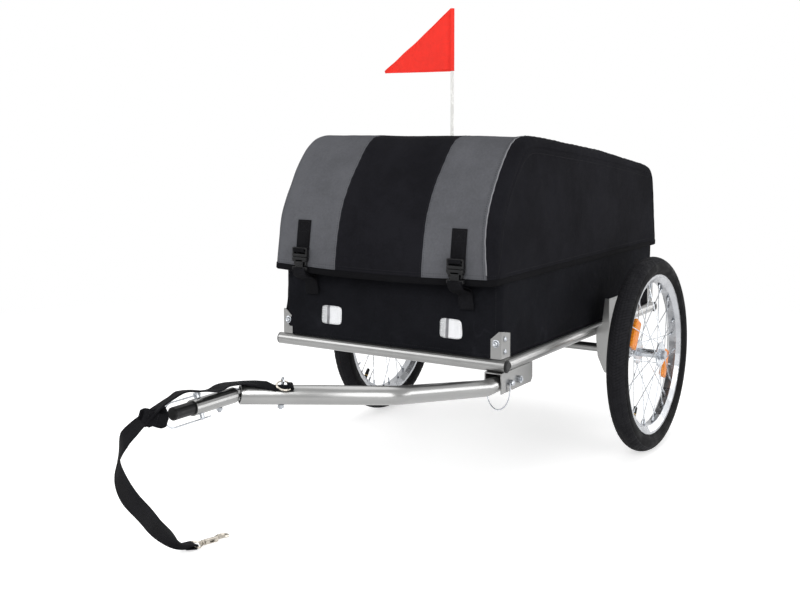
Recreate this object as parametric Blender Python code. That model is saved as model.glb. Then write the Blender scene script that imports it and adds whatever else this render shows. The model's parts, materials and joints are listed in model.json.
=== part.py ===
"""Two-wheeled cargo trailer for a bicycle, modelled piece by piece.

Units are metres and +Z is up.  The trailer is towed towards -Y, so +X is its left side.
Sizes below are measured from the wheel axle: y = 0 is the axle, z = 0 is the ground.
Everything hangs under the empty "trailer", which puts the origin at the middle of the
trailer's footprint on the ground.
"""
import math

import bmesh
import bpy
from mathutils import Matrix, Vector

# Clearances
TOUCH = 0.0003          # between pieces that bear on each other
RUN = 0.00003           # radial, between a turning shaft and its bore
SLIP = 0.0006           # around a piece that slides by hand

# Wheels
TYRE_R = 0.200
TYRE_HALF_W = 0.0215
TYRE_HEIGHT = 0.0355    # tread to bead
BEAD_HALF_W = 0.0150
RIM_DEPTH = 0.0162      # bead seat to inner edge
RIM_HALF_W = 0.0145
RIM_INNER_HALF_W = 0.0075
WHEEL_OUT = 0.075       # a wheel's middle plane outside the frame
FLANGE_R = 0.025
FLANGE_T = 0.003
FLANGE_SPAN = 0.047     # between the middles of the two spoke flanges
BARREL_R = 0.0085
INNER_BOSS_R = 0.011
OUTER_BOSS_R = 0.010
OUTER_BOSS_L = 0.0025
SPOKES_PER_SIDE = 14
SPOKE_R = 0.0010
SPOKE_CIRCLE_R = 0.0215
SPOKE_STAGGER = 0.0016
REFLECTOR_L = 0.060
REFLECTOR_W = 0.026
REFLECTOR_AT_R = 0.100
REFLECTOR_ANGLES = (148.0, 338.0)   # degrees from the rearward horizontal
VALVE_R = 0.0035
VALVE_L = 0.026
VALVE_ANGLE = 232.0

# Wheel axles
AXLE_R = 0.006
AXLE_WASHER_R = 0.0115
AXLE_WASHER_T = 0.0016
AXLE_HEAD_R = 0.0100
AXLE_HEAD_T = 0.0058
AXLE_IN_TUBE = 0.055
AXLE_TUBE_R = 0.009

# Frame
FRAME_W = 0.500         # over the end caps
FRAME_L = 0.750         # between the two cross tubes
AXLE_TO_FRONT = 0.497   # axle to the front cross tube
FRAME_Z = 0.255
TUBE_R = 0.011
TUBE_WALL = 0.0015
CAP_T = 0.0035
CAP_PLUG_L = 0.012

# Wheel brackets
WEB_T = 0.0025
WEB_FROM_WHEEL = 0.0475 # web's outer face to the wheel's middle plane
WEB_FRONT = 0.104       # ahead of the axle
WEB_REAR = 0.034        # behind the axle
BRACKET_RISE = 0.068    # above the frame's tubes' middle
BRACKET_DROP = 0.028    # below the axle

# Corner brackets
CORNER_T = 0.002
CORNER_H = 0.048
CORNER_FRONT_W = 0.021
CORNER_SIDE_W = 0.034
CORNER_CHAMFER = 0.014

# Tub
FABRIC_T = 0.0015
TUB_INSET = 0.0145      # each side inside the frame's width
TUB_PAST_FRONT = 0.0005     # front wall ahead of the front tube's middle
TUB_PAST_REAR = 0.0090      # rear wall behind the rear tube's middle
TUB_RISE = 0.1650       # edge above the frame's tubes' middle
TUB_CORNER_R = 0.012
FLOOR_T = 0.008
TUB_ROD_R = 0.004

# Cover
COVER_OVER = 0.0025     # each side outside the tub
COVER_LAP = 0.0230      # hem below the tub's edge
FRONT_HEM_OUT = 0.0300      # ahead of the tub's front wall
BULGE_OUT = 0.0215          # ahead of the tub's front wall
BULGE_H = 0.1250            # above the hem, as the next heights are
RIDGE_BACK = 0.0860         # behind the tub's front wall
COVER_RIDGE_H = 0.2605
TAIL_OUT = 0.0030           # behind the tub's rear wall
TAIL_H = 0.1830
REAR_HEM_OUT = 0.0215       # behind the tub's rear wall
COVER_EDGE_R = 0.014
COVER_ROD_R = 0.003
BOW_SLACK = 0.0040      # between a bow and the cloth that it holds up
HINGE_OUT = 0.0055      # hinge rod's middle behind the tub's rear wall
HINGE_HALF = 0.180
HINGE_LEG_X = 0.110
CLIP_IN = 0.0805        # middle of a hinge clip inside the tub's side
CLIP_W = 0.022
CLIP_WALL = 0.0019
CLIP_PLATE_T = 0.0016
CLIP_PLATE_H = 0.030

# Buckles
BUCKLE_IN = 0.0675      # middle of a buckle inside the tub's side
BUCKLE_W = 0.029
BUCKLE_T = 0.0095
BUCKLE_LIFT = 0.0010    # its lower end above the cover's hem
SOCKET_H = 0.0245
PLUG_H = 0.0185
WEBBING_W = 0.025
WEBBING_T = 0.0015
UPPER_STRAP_H = 0.0510      # above the buckle
LOWER_STRAP_H = 0.0450      # below the buckle
PRONG_L = 0.017

# Flag
POLE_R = 0.004
POLE_TOP = 0.962
POLE_Y = 0.196
SOCKET_WALL = 0.002
SOCKET_L = 0.050
FLAG_W = 0.195
FLAG_H = 0.154
FLAG_T = 0.0016

# Towbar
BAR_R = 0.014
BAR_WALL = 0.002
BAR_INSET = 0.0133      # bar's middle inside the side tube's
BAR_DROP = 0.0325       # bar's middle below the frame's
CHANNEL_T = 0.002
CHANNEL_AHEAD = 0.011       # ahead of the front tube's middle
CHANNEL_L = 0.123
CHANNEL_DROP = 0.0145       # lower edge below the bar's middle
PIVOT_BACK = 0.056      # behind the front tube's middle
BAR_TAIL = 0.010        # bar behind the pivot
LOCK_BACK = 0.023       # behind the front tube's middle
PIVOT_R = 0.004
LOCK_PIN_R = 0.0035
FIRST_BEND_AHEAD = 0.038    # ahead of the front tube's middle
SECOND_BEND = 0.815
SECOND_BEND_Z = 0.2688
KNUCKLE_X = 0.074
KNUCKLE_AT = 1.002
KNUCKLE_Z = 0.2895
BEND_R = 0.055
TUBE_END_GAP = 0.0058   # each tube's end to the knuckle pin
KNUCKLE_PIN_R = 0.0030
LUG_T = 0.0045
LUG_R = 0.0072

# Coupler
SLEEVE_R = 0.0112
SLEEVE_WALL = 0.0018
SLEEVE_L = 0.084
ROD_OUT = 0.038
ROD_IN = 0.060
COUPLER_PIN_R = 0.0032
COUPLER_PIN_BACK = 0.015    # pin to the sleeve's front end
PIN_LEAN = 19.0             # degrees from upright
COUPLER_BOLT_BACK = 0.055
BOLT_R = 0.0025

# D-ring and its bolt
RING_BACK = 0.066           # along the bar from the knuckle
RING_R = 0.0105
RING_WIRE_R = 0.0014
EYE_R = 0.0047
EYE_WIRE_R = 0.0015

# Safety strap: width, thickness and the points it runs through.
STRAP_W = 0.025
STRAP_T = 0.0018
STRAP_END_W = 0.012
STRAP_LIFT = 0.0023         # middle of the strap above the tube that it lies on

# Lock pins and their sprung wire bails
PIN_HEAD_HINGE = 0.0034
BAIL_R = 0.0011
BAIL_STUB = 0.0072
BAIL_LEG = 0.0078
BRACKET_BAIL_START = 0.0060     # start of the bow from the pin's axis
BRACKET_BAIL_DEPTH = 0.0440
BRACKET_BAIL_SPAN = 0.0490
BRACKET_BAIL_END = 0.0185       # end of the bow from the pin's axis
COUPLER_BAIL_DEPTH = 0.0660     # from the pin's axis, round the hitch rod's end
COUPLER_BAIL_SPAN = 0.0330
COUPLER_BAIL_TAIL = 0.0200      # wire behind the pin's tip

# Where the middle of the free strap runs, and the way its upper face looks there
STRAP_RUN = (
    ((0.0790, -1.0000, 0.3058), (0.00, 0.14, 0.99)),
    ((0.0800, -1.0213, 0.3089), (0.00, 0.11, 0.99)),
    ((0.0830, -1.0413, 0.3105), (-0.03, -0.02, 1.00)),
    ((0.0870, -1.0600, 0.3092), (-0.05, -0.01, 1.00)),
    ((0.0900, -1.0792, 0.3118), (-0.08, 0.18, 0.98)),
    ((0.0925, -1.0956, 0.3162), (-0.08, 0.24, 0.97)),
    ((0.0955, -1.1178, 0.3205), (-0.05, 0.18, 0.98)),
    ((0.0960, -1.1360, 0.3230), (-0.17, -0.07, 0.98)),
    ((0.0925, -1.1500, 0.3176), (-0.31, -0.34, 0.89)),
    ((0.0850, -1.1605, 0.3098), (-0.37, -0.48, 0.80)),
    ((0.0740, -1.1680, 0.2984), (-0.37, -0.66, 0.65)),
    ((0.0501, -1.1725, 0.2777), (-0.21, -0.91, 0.37)),
    ((0.0311, -1.1738, 0.2593), (-0.27, -0.96, 0.06)),
    ((0.0112, -1.1643, 0.2337), (-0.66, -0.73, 0.15)),
    ((-0.0048, -1.1524, 0.2076), (-0.84, -0.52, 0.16)),
    ((-0.0214, -1.1292, 0.1777), (-0.93, -0.24, 0.29)),
    ((-0.0397, -1.0955, 0.1435), (-0.90, 0.01, 0.43)),
    ((-0.0550, -1.0542, 0.1065), (-0.87, 0.05, 0.50)),
    ((-0.0790, -1.0067, 0.0661), (-0.90, -0.07, 0.43)),
    ((-0.0972, -0.9611, 0.0324), (-0.93, -0.35, -0.10)),
    ((-0.1000, -0.9360, 0.0150), (-0.48, -0.47, -0.74)),
    ((-0.1000, -0.9230, 0.0098), (0.00, -0.37, -0.93)),
)

# Snap hook on the strap's free end
HOOK_AT = Vector((-0.0990, -0.9080, 0.0048))
HOOK_TURN = 18.0            # degrees of the hook's line from straight back
HOOK_WIRE_R = 0.0016
HOOK_BAR_HALF = 0.0147
SWIVEL_AT = 0.0150
SWIVEL_T = 0.0036
SWIVEL_R = 0.0042
NECK_R = 0.0022
BARREL_AT = 0.0200
BARREL_END = 0.0430
BARREL_HOOK_R = 0.0046
BOLT_SHAFT_R = 0.0018
BORE_AT = 0.0238
BOLT_TIP = 0.0572
KNOB_AT = 0.0350
KNOB_TRAVEL = 0.0055

# Facets
SEGMENTS = 20
BAR_SIDES = 14
WHEEL_SIDES = 36
UP = Vector((0, 0, 1))


# Scene and object helpers

def clear_scene():
    for item in list(bpy.context.scene.objects):
        bpy.data.objects.remove(item, do_unlink=True)


MATERIAL_LOOKS = {
    "silver_paint": ((0.56, 0.57, 0.58), 0.85, 0.34),
    "zinc": ((0.66, 0.69, 0.72), 1.0, 0.30),
    "chrome": ((0.80, 0.81, 0.82), 1.0, 0.12),
    "tyre": ((0.022, 0.022, 0.023), 0.0, 0.78),
    "black_plastic": ((0.020, 0.020, 0.022), 0.0, 0.45),
    "black_fabric": ((0.024, 0.024, 0.028), 0.0, 0.90),
    "webbing": ((0.018, 0.018, 0.020), 0.0, 0.80),
    "amber": ((0.900, 0.280, 0.020), 0.0, 0.22),
    "red_fabric": ((0.900, 0.060, 0.040), 0.0, 0.70),
    "white_plastic": ((0.820, 0.820, 0.800), 0.0, 0.40),
}


def principled(node_name, look):
    colour, metallic, roughness = MATERIAL_LOOKS[look]
    material = bpy.data.materials.new(node_name + "_material")
    material.use_nodes = True
    shader = material.node_tree.nodes["Principled BSDF"]
    shader.inputs["Base Color"].default_value = (*colour, 1.0)
    shader.inputs["Metallic"].default_value = metallic
    shader.inputs["Roughness"].default_value = roughness
    material.diffuse_color = (*colour, 1.0)
    return material


def make_object(name, bm, look):
    bmesh.ops.recalc_face_normals(bm, faces=bm.faces)
    mesh = bpy.data.meshes.new(name)
    bm.to_mesh(mesh)
    bm.free()
    piece = bpy.data.objects.new(name, mesh)
    bpy.context.scene.collection.objects.link(piece)
    mesh.materials.append(principled(name, look))
    mesh.shade_smooth()
    mesh.set_sharp_from_angle(angle=math.radians(35))
    return piece


def scratch_object(bm):
    bmesh.ops.recalc_face_normals(bm, faces=bm.faces)
    mesh = bpy.data.meshes.new("cutter")
    bm.to_mesh(mesh)
    bm.free()
    tool = bpy.data.objects.new("cutter", mesh)
    tool.hide_render = True
    tool.display_type = "WIRE"
    bpy.context.scene.collection.objects.link(tool)
    return tool


def combine(piece, tool_bm, operation):
    """Cut a tool from the piece, or weld it on, and keep the result as the piece's mesh."""
    tool = scratch_object(tool_bm)
    step = piece.modifiers.new("combine", "BOOLEAN")
    step.operation = operation
    step.solver = "EXACT"
    step.object = tool
    graph = bpy.context.evaluated_depsgraph_get()
    result = bpy.data.meshes.new_from_object(piece.evaluated_get(graph))
    piece.modifiers.clear()
    material = piece.data.materials[0]
    piece.data = result
    piece.data.materials.clear()
    piece.data.materials.append(material)
    bpy.data.objects.remove(tool, do_unlink=True)


def cut(piece, tool_bm):
    combine(piece, tool_bm, "DIFFERENCE")


def weld(piece, tool_bm):
    combine(piece, tool_bm, "UNION")


# Mesh builders

def cross_frame(direction, hint=Vector((0, 0, 1))):
    """Two unit vectors square to a direction; the second is as near the hint as it can be."""
    direction = direction.normalized()
    if abs(direction.dot(hint)) > 0.97:
        hint = Vector((0, 1, 0))
    side = hint.cross(direction).normalized()
    return side, direction.cross(side).normalized()


def ring_loop(bm, centre, side, up, radius, sides):
    turn = 2 * math.pi / sides
    return [bm.verts.new(centre + radius * (side * math.cos(turn * k) + up * math.sin(turn * k)))
            for k in range(sides)]


def bridge(bm, first, second):
    count = len(first)
    for k in range(count):
        bm.faces.new((first[k], first[(k + 1) % count], second[(k + 1) % count], second[k]))


def path_frames(path, hint=Vector((0, 0, 1))):
    """Section frames along a path, mitred at each point and carried without twist."""
    frames = []
    side, up = cross_frame(path[1] - path[0], hint)
    for k, point in enumerate(path):
        before = (point - path[k - 1]).normalized() if k else (path[1] - path[0]).normalized()
        after = (path[k + 1] - point).normalized() if k < len(path) - 1 else before
        tangent = (before + after).normalized()
        up = (up - tangent * up.dot(tangent)).normalized()
        side = up.cross(tangent).normalized()
        frames.append((point, side, up, tangent))
    return frames


def rod(path, radius, sides=12, radii=None, hint=Vector((0, 0, 1))):
    """A solid round bar along a path; radii gives a radius for each point."""
    bm = bmesh.new()
    frames = path_frames_steps(path, hint)
    loops = [ring_loop(bm, point, side, up, radii[k] if radii else radius, sides)
             for k, (point, side, up, tangent) in enumerate(frames)]
    for first, second in zip(loops, loops[1:]):
        bridge(bm, first, second)
    bm.faces.new(loops[0])
    bm.faces.new(loops[-1])
    return bm


def path_frames_steps(path, hint):
    """Frames for a path that may hold the same point twice, where the radius steps."""
    distinct = [path[0]]
    for point in path[1:]:
        if (point - distinct[-1]).length > 1e-7:
            distinct.append(point)
    frames = path_frames(distinct, hint)
    result = []
    index = 0
    for k, point in enumerate(path):
        if k and (point - path[k - 1]).length > 1e-7:
            index += 1
        result.append(frames[index])
    return result


def hollow_tube(path, radius, wall, sides=SEGMENTS):
    bm = bmesh.new()
    frames = path_frames(path)
    outer = [ring_loop(bm, p, s, u, radius, sides) for p, s, u, t in frames]
    inner = [ring_loop(bm, p, s, u, radius - wall, sides) for p, s, u, t in frames]
    for loops in (outer, inner):
        for first, second in zip(loops, loops[1:]):
            bridge(bm, first, second)
    bridge(bm, outer[0], inner[0])
    bridge(bm, outer[-1], inner[-1])
    return bm


def box(low, high):
    bm = bmesh.new()
    bmesh.ops.create_cube(bm, size=1.0)
    low, high = Vector(low), Vector(high)
    size = high - low
    bmesh.ops.scale(bm, vec=size, verts=bm.verts)
    bmesh.ops.translate(bm, vec=(low + high) / 2, verts=bm.verts)
    return bm


def turned(profile, segments=SEGMENTS, axis=Vector((1, 0, 0)), centre=Vector((0, 0, 0))):
    """A closed outline of (along, radius) points turned about an axis; radius 0 closes the end."""
    bm = bmesh.new()
    side, up = cross_frame(axis)
    loops = []
    for along, radius in profile:
        point = centre + axis * along
        if radius == 0:
            loops.append([bm.verts.new(point)])
        else:
            loops.append(ring_loop(bm, point, side, up, radius, segments))
    pairs = list(zip(loops, loops[1:]))
    if profile[0][1] != 0:
        pairs.append((loops[-1], loops[0]))
    for first, second in pairs:
        if len(first) == 1 and len(second) == 1:
            continue
        if len(first) == 1:
            for k in range(segments):
                bm.faces.new((first[0], second[k], second[(k + 1) % segments]))
        elif len(second) == 1:
            for k in range(segments):
                bm.faces.new((first[k], first[(k + 1) % segments], second[0]))
        else:
            bridge(bm, first, second)
    return bm


def slab(outline, thickness, place):
    """A flat outline of (u, v) points made solid; place turns (u, v, w) into a point."""
    bm = bmesh.new()
    near = [bm.verts.new(place(u, v, 0.0)) for u, v in outline]
    far = [bm.verts.new(place(u, v, thickness)) for u, v in outline]
    bm.faces.new(near)
    bm.faces.new(far)
    bridge(bm, near, far)
    return bm


def along_x(x0):
    return lambda u, v, w: Vector((x0 + w, u, v))


def along_y(y0):
    return lambda u, v, w: Vector((u, y0 + w, v))


def wire_ring(centre, normal, radius, wire, segments=20, sides=8):
    bm = bmesh.new()
    side, up = cross_frame(normal)
    normal = normal.normalized()
    loops = []
    for k in range(segments):
        angle = 2 * math.pi * k / segments
        outward = side * math.cos(angle) + up * math.sin(angle)
        loops.append(ring_loop(bm, centre + outward * radius, outward, normal, wire, sides))
    for k in range(segments):
        bridge(bm, loops[k], loops[(k + 1) % segments])
    return bm


def filleted(corners, radii, steps=5):
    """A polyline whose inner corners are replaced by arcs of the given radii."""
    points = [Vector(corners[0])]
    for k in range(1, len(corners) - 1):
        corner = Vector(corners[k])
        back = (Vector(corners[k - 1]) - corner).normalized()
        ahead = (Vector(corners[k + 1]) - corner).normalized()
        radius = radii[k - 1]
        half = back.angle(ahead) / 2
        if radius <= 0 or half > math.radians(89.5):
            points.append(corner)
            continue
        reach = radius / math.tan(half)
        centre = corner + (back + ahead).normalized() * (radius / math.sin(half))
        start = corner + back * reach - centre
        sweep = math.pi - 2 * half
        lean = (ahead - back * ahead.dot(back)).normalized()
        toward = (corner + ahead * reach - centre)
        across = (toward - start * (toward.dot(start) / start.length_squared)).normalized()
        for step in range(steps + 1):
            angle = sweep * step / steps
            points.append(centre + start * math.cos(angle) + across * start.length * math.sin(angle))
    points.append(Vector(corners[-1]))
    return points


def smooth_curve(points, per_span=3):
    """Points on a smooth curve that passes through the given ones."""
    ends = [points[0] * 2 - points[1]] + list(points) + [points[-1] * 2 - points[-2]]
    result = []
    for k in range(1, len(ends) - 2):
        p0, p1, p2, p3 = ends[k - 1:k + 3]
        for step in range(per_span):
            t = step / per_span
            result.append(0.5 * ((2 * p1) + (p2 - p0) * t + (2 * p0 - 5 * p1 + 4 * p2 - p3) * t * t
                                 + (3 * p1 - p0 - 3 * p2 + p3) * t ** 3))
    result.append(points[-1].copy())
    return result


def rounded_rectangle(half_x, y_low, y_high, radius, steps=4):
    """Corner arcs of a rectangle about x = 0, in order round it."""
    outline = []
    centres = ((half_x - radius, y_high - radius, 0), (-half_x + radius, y_high - radius, 90),
               (-half_x + radius, y_low + radius, 180), (half_x - radius, y_low + radius, 270))
    for cx, cy, start in centres:
        for step in range(steps + 1):
            angle = math.radians(start + 90 * step / steps)
            outline.append((cx + radius * math.cos(angle), cy + radius * math.sin(angle)))
    return outline


# Bodies: one empty for each group of pieces that moves together

BODIES = {}


def add_body(name, pivot, parent=None):
    empty = bpy.data.objects.new(name + "_pivot", None)
    empty.empty_display_size = 0.03
    bpy.context.scene.collection.objects.link(empty)
    if parent:
        empty.parent = BODIES[parent][0]
        empty.location = Vector(pivot) - BODIES[parent][1]
    else:
        empty.location = Vector(pivot)
    BODIES[name] = (empty, Vector(pivot))


def attach(piece, body):
    empty, pivot = BODIES[body]
    piece.data.transform(Matrix.Translation(-pivot))
    piece.parent = empty


# Places worked out from the sizes above

FRONT_Y = -AXLE_TO_FRONT
REAR_Y = FRONT_Y + FRAME_L
SIDE_X = FRAME_W / 2 - TUBE_R
AXLE_Z = TYRE_R
BRACKET_TOP = FRAME_Z + BRACKET_RISE
BRACKET_BOTTOM = AXLE_Z - BRACKET_DROP
TUB_HALF_W = FRAME_W / 2 - TUB_INSET
TUB_FRONT = AXLE_TO_FRONT + TUB_PAST_FRONT
TUB_REAR = REAR_Y + TUB_PAST_REAR
TUB_TOP = FRAME_Z + TUB_RISE
COVER_HALF_W = TUB_HALF_W + COVER_OVER
COVER_HEM_Z = TUB_TOP - COVER_LAP
COVER_FRONT_HEM = TUB_FRONT + FRONT_HEM_OUT
COVER_BULGE = TUB_FRONT + BULGE_OUT
COVER_BULGE_Z = COVER_HEM_Z + BULGE_H
COVER_RIDGE = TUB_FRONT - RIDGE_BACK
COVER_RIDGE_Z = COVER_HEM_Z + COVER_RIDGE_H
COVER_TAIL = TUB_REAR + TAIL_OUT
COVER_TAIL_Z = COVER_HEM_Z + TAIL_H
COVER_REAR_HEM = TUB_REAR + REAR_HEM_OUT
BUCKLE_BOTTOM = COVER_HEM_Z + BUCKLE_LIFT
BUCKLE_SPLIT = BUCKLE_BOTTOM + SOCKET_H
BUCKLE_TOP = BUCKLE_SPLIT + PLUG_H
UPPER_STRAP_TOP = BUCKLE_TOP + UPPER_STRAP_H
LOWER_STRAP_END = BUCKLE_BOTTOM - LOWER_STRAP_H
BAR_X = SIDE_X - BAR_INSET
BAR_Z = FRAME_Z - BAR_DROP
CHANNEL_FRONT = AXLE_TO_FRONT + CHANNEL_AHEAD
CHANNEL_REAR = CHANNEL_FRONT - CHANNEL_L
CHANNEL_BOTTOM = BAR_Z - CHANNEL_DROP
PIVOT_AT = AXLE_TO_FRONT - PIVOT_BACK
LOCK_AT = AXLE_TO_FRONT - LOCK_BACK
FIRST_BEND = AXLE_TO_FRONT + FIRST_BEND_AHEAD
BEAD_R = TYRE_R - TYRE_HEIGHT
RIM_TOP_R = BEAD_R - TOUCH
RIM_INNER_R = RIM_TOP_R - RIM_DEPTH
HUB_END = FLANGE_SPAN / 2 + FLANGE_T / 2 + OUTER_BOSS_L
WHEEL_X = FRAME_W / 2 + WHEEL_OUT
WEB_OUT = WHEEL_X - WEB_FROM_WHEEL
WEB_IN = WEB_OUT - WEB_T
AXLE_END = WHEEL_X + HUB_END + TOUCH + AXLE_WASHER_T + AXLE_HEAD_T
BAR_LINE = [Vector((BAR_X, -(PIVOT_AT - BAR_TAIL), BAR_Z)),
            Vector((BAR_X, -FIRST_BEND, BAR_Z)),
            Vector((BAR_X, -SECOND_BEND, SECOND_BEND_Z)),
            Vector((KNUCKLE_X, -KNUCKLE_AT, KNUCKLE_Z))]
BAR_AIM = (BAR_LINE[3] - BAR_LINE[2]).normalized()
KNUCKLE = BAR_LINE[3]
EYE_HEIGHT = BAR_R + TOUCH + EYE_R + EYE_WIRE_R * 0.6
COUPLER_AIM = Vector((0, -1, 0))
BAIL_FRONT = (KNUCKLE.y - TUBE_END_GAP - SLEEVE_L + COUPLER_PIN_BACK - COUPLER_BAIL_DEPTH
              - BAIL_R)
POLE_X = -(FRAME_W / 2 + SOCKET_WALL + TOUCH + POLE_R + SLIP)
FLOOR_Z = FRAME_Z + TUBE_R + TOUCH
ORIGIN = Vector(((AXLE_END + POLE_X - FLAG_W) / 2, (COVER_REAR_HEM + BAIL_FRONT) / 2, 0.0))


def mirror_x(bm, side):
    """Turn a left-hand shape into the right-hand one when side is -1."""
    if side < 0:
        bmesh.ops.scale(bm, vec=(-1, 1, 1), verts=bm.verts)
        bmesh.ops.reverse_faces(bm, faces=bm.faces)
    return bm


# Wheels

def wheel_place(bm, side):
    """Move a wheel piece from its own middle, outboard at +X, to its place."""
    mirror_x(bm, side)
    bmesh.ops.translate(bm, vec=(side * WHEEL_X, 0, AXLE_Z), verts=bm.verts)
    return bm


def tyre():
    crown = 8
    height = TYRE_R - BEAD_R
    belly_r = BEAD_R + height * 0.44
    outline = [(-BEAD_HALF_W, BEAD_R)]
    low_angle = math.asin((belly_r - BEAD_R) * 0.86 / (TYRE_R - belly_r))
    for k in range(crown + 1):
        angle = -low_angle + (math.pi + 2 * low_angle) * k / crown
        outline.append((-TYRE_HALF_W * math.cos(angle), belly_r + (TYRE_R - belly_r) * math.sin(angle)))
    outline.append((BEAD_HALF_W, BEAD_R))
    return turned(outline, segments=WHEEL_SIDES)


def rim():
    lip_r = RIM_TOP_R - 0.0052
    outline = [(-RIM_HALF_W, RIM_TOP_R), (-RIM_HALF_W, lip_r), (-RIM_INNER_HALF_W, RIM_INNER_R),
               (RIM_INNER_HALF_W, RIM_INNER_R), (RIM_HALF_W, lip_r), (RIM_HALF_W, RIM_TOP_R)]
    return turned(outline, segments=WHEEL_SIDES)


def hub():
    bore = running_bore(AXLE_R, SEGMENTS)
    inner_end = -(WHEEL_X - WEB_OUT - TOUCH)
    f0 = FLANGE_SPAN / 2 - FLANGE_T / 2
    f1 = FLANGE_SPAN / 2 + FLANGE_T / 2
    outline = [(inner_end, bore), (inner_end, INNER_BOSS_R), (-f1, INNER_BOSS_R), (-f1, FLANGE_R),
               (-f0, FLANGE_R), (-f0, BARREL_R), (f0, BARREL_R), (f0, FLANGE_R), (f1, FLANGE_R),
               (f1, OUTER_BOSS_R), (HUB_END, OUTER_BOSS_R), (HUB_END, bore)]
    return turned(outline)


def spoke_ends(index, flange):
    """A spoke's hub end and rim end; flange is +1 outboard and -1 inboard."""
    pitch = 2 * math.pi / SPOKES_PER_SIDE
    head_out = 1 if index % 2 else -1
    hub_angle = pitch * (index + 0.25) + (pitch / 2 if flange > 0 else 0)
    rim_angle = hub_angle + 2 * pitch * head_out
    x_hub = flange * FLANGE_SPAN / 2 + head_out * flange * SPOKE_STAGGER
    reach = RIM_INNER_R * math.cos(math.pi / WHEEL_SIDES) - TOUCH - SPOKE_R * 0.35
    start = Vector((x_hub, SPOKE_CIRCLE_R * math.cos(hub_angle), SPOKE_CIRCLE_R * math.sin(hub_angle)))
    end = Vector((flange * 0.0025, reach * math.cos(rim_angle), reach * math.sin(rim_angle)))
    return start, end


def spokes():
    bm = bmesh.new()
    for flange in (-1, 1):
        for index in range(SPOKES_PER_SIDE):
            start, end = spoke_ends(index, flange)
            one = rod([start, end], SPOKE_R, sides=5)
            mesh = bpy.data.meshes.new("spoke")
            bmesh.ops.recalc_face_normals(one, faces=one.faces)
            one.to_mesh(mesh)
            one.free()
            bm.from_mesh(mesh)
            bpy.data.meshes.remove(mesh)
    return bm


def spoke_x_at(radius):
    """How far from the wheel's middle plane the inner spokes pass at a radius."""
    start, end = spoke_ends(0, 1)
    low, high = 0.0, 1.0
    for step in range(30):
        middle = (low + high) / 2
        point = start.lerp(end, middle)
        if math.hypot(point.y, point.z) < radius:
            low = middle
        else:
            high = middle
    return min(abs(start.lerp(end, low).x), abs(spoke_ends(1, 1)[0].lerp(spoke_ends(1, 1)[1], low).x))


def reflector(angle):
    """A wedge that fills the space between the two spoke cones."""
    inner = REFLECTOR_AT_R - REFLECTOR_W / 2
    outer = REFLECTOR_AT_R + REFLECTOR_W / 2
    gap = SPOKE_R + TOUCH
    half_in = spoke_x_at(math.hypot(inner, REFLECTOR_L / 2)) - gap
    half_out = spoke_x_at(math.hypot(outer, REFLECTOR_L / 2)) - gap
    bm = bmesh.new()
    corners = []
    for r, half in ((inner, half_in), (outer, half_out)):
        for x, t in ((-half, -1), (half, -1), (half, 1), (-half, 1)):
            corners.append(bm.verts.new((x, r, t * REFLECTOR_L / 2)))
    a, b, c, d, e, f, g, h = corners
    for face in ((a, b, c, d), (e, f, g, h), (a, b, f, e), (b, c, g, f), (c, d, h, g), (d, a, e, h)):
        bm.faces.new(face)
    bmesh.ops.bevel(bm, geom=bm.edges[:], offset=0.0025, segments=1, affect="EDGES")
    bmesh.ops.rotate(bm, cent=(0, 0, 0), matrix=Matrix.Rotation(math.radians(angle), 3, "X"), verts=bm.verts)
    return bm


def valve():
    turn = Matrix.Rotation(math.radians(VALVE_ANGLE), 3, "X")
    start = turn @ Vector((0, RIM_INNER_R + 0.004, 0))
    end = turn @ Vector((0, RIM_INNER_R - VALVE_L, 0))
    return rod([start, end], VALVE_R, sides=10)


def build_wheel(name, side):
    body = "wheel_" + name
    attach(make_object("tyre_" + name, wheel_place(tyre(), side), "tyre"), body)
    rim_piece = make_object("rim_" + name, wheel_place(rim(), side), "chrome")
    weld(rim_piece, wheel_place(valve(), side))
    attach(rim_piece, body)
    hub_piece = make_object("hub_and_spokes_" + name, wheel_place(hub(), side), "zinc")
    weld(hub_piece, wheel_place(spokes(), side))
    attach(hub_piece, body)
    for label, angle in zip(("front", "rear"), REFLECTOR_ANGLES):
        attach(make_object(f"reflector_{name}_{label}", wheel_place(reflector(angle), side), "amber"), body)


def build_axle(name, side):
    """A headed axle that passes through the hub and the bracket into the cross tube."""
    sides = SEGMENTS
    x0 = WHEEL_X + HUB_END + TOUCH
    inner = WEB_IN - AXLE_IN_TUBE
    outline = [(inner, 0), (inner, AXLE_R - 0.001), (inner + 0.001, AXLE_R), (x0, AXLE_R),
               (x0, AXLE_WASHER_R), (x0 + AXLE_WASHER_T, AXLE_WASHER_R),
               (x0 + AXLE_WASHER_T, AXLE_HEAD_R - 0.0012), (AXLE_END - 0.001, AXLE_HEAD_R - 0.0012),
               (AXLE_END, AXLE_HEAD_R - 0.0025), (AXLE_END, 0)]
    bm = turned(outline, segments=sides, centre=Vector((0, 0, AXLE_Z)))
    piece = make_object("wheel_axle_" + name, mirror_x(bm, side), "zinc")
    attach(piece, "chassis")


# Frame

def cross_tube(name, y):
    half = FRAME_W / 2 - CAP_T - TOUCH
    bm = hollow_tube([Vector((-half, y, FRAME_Z)), Vector((half, y, FRAME_Z))], TUBE_R, TUBE_WALL)
    attach(make_object(name, bm, "silver_paint"), "chassis")


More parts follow.
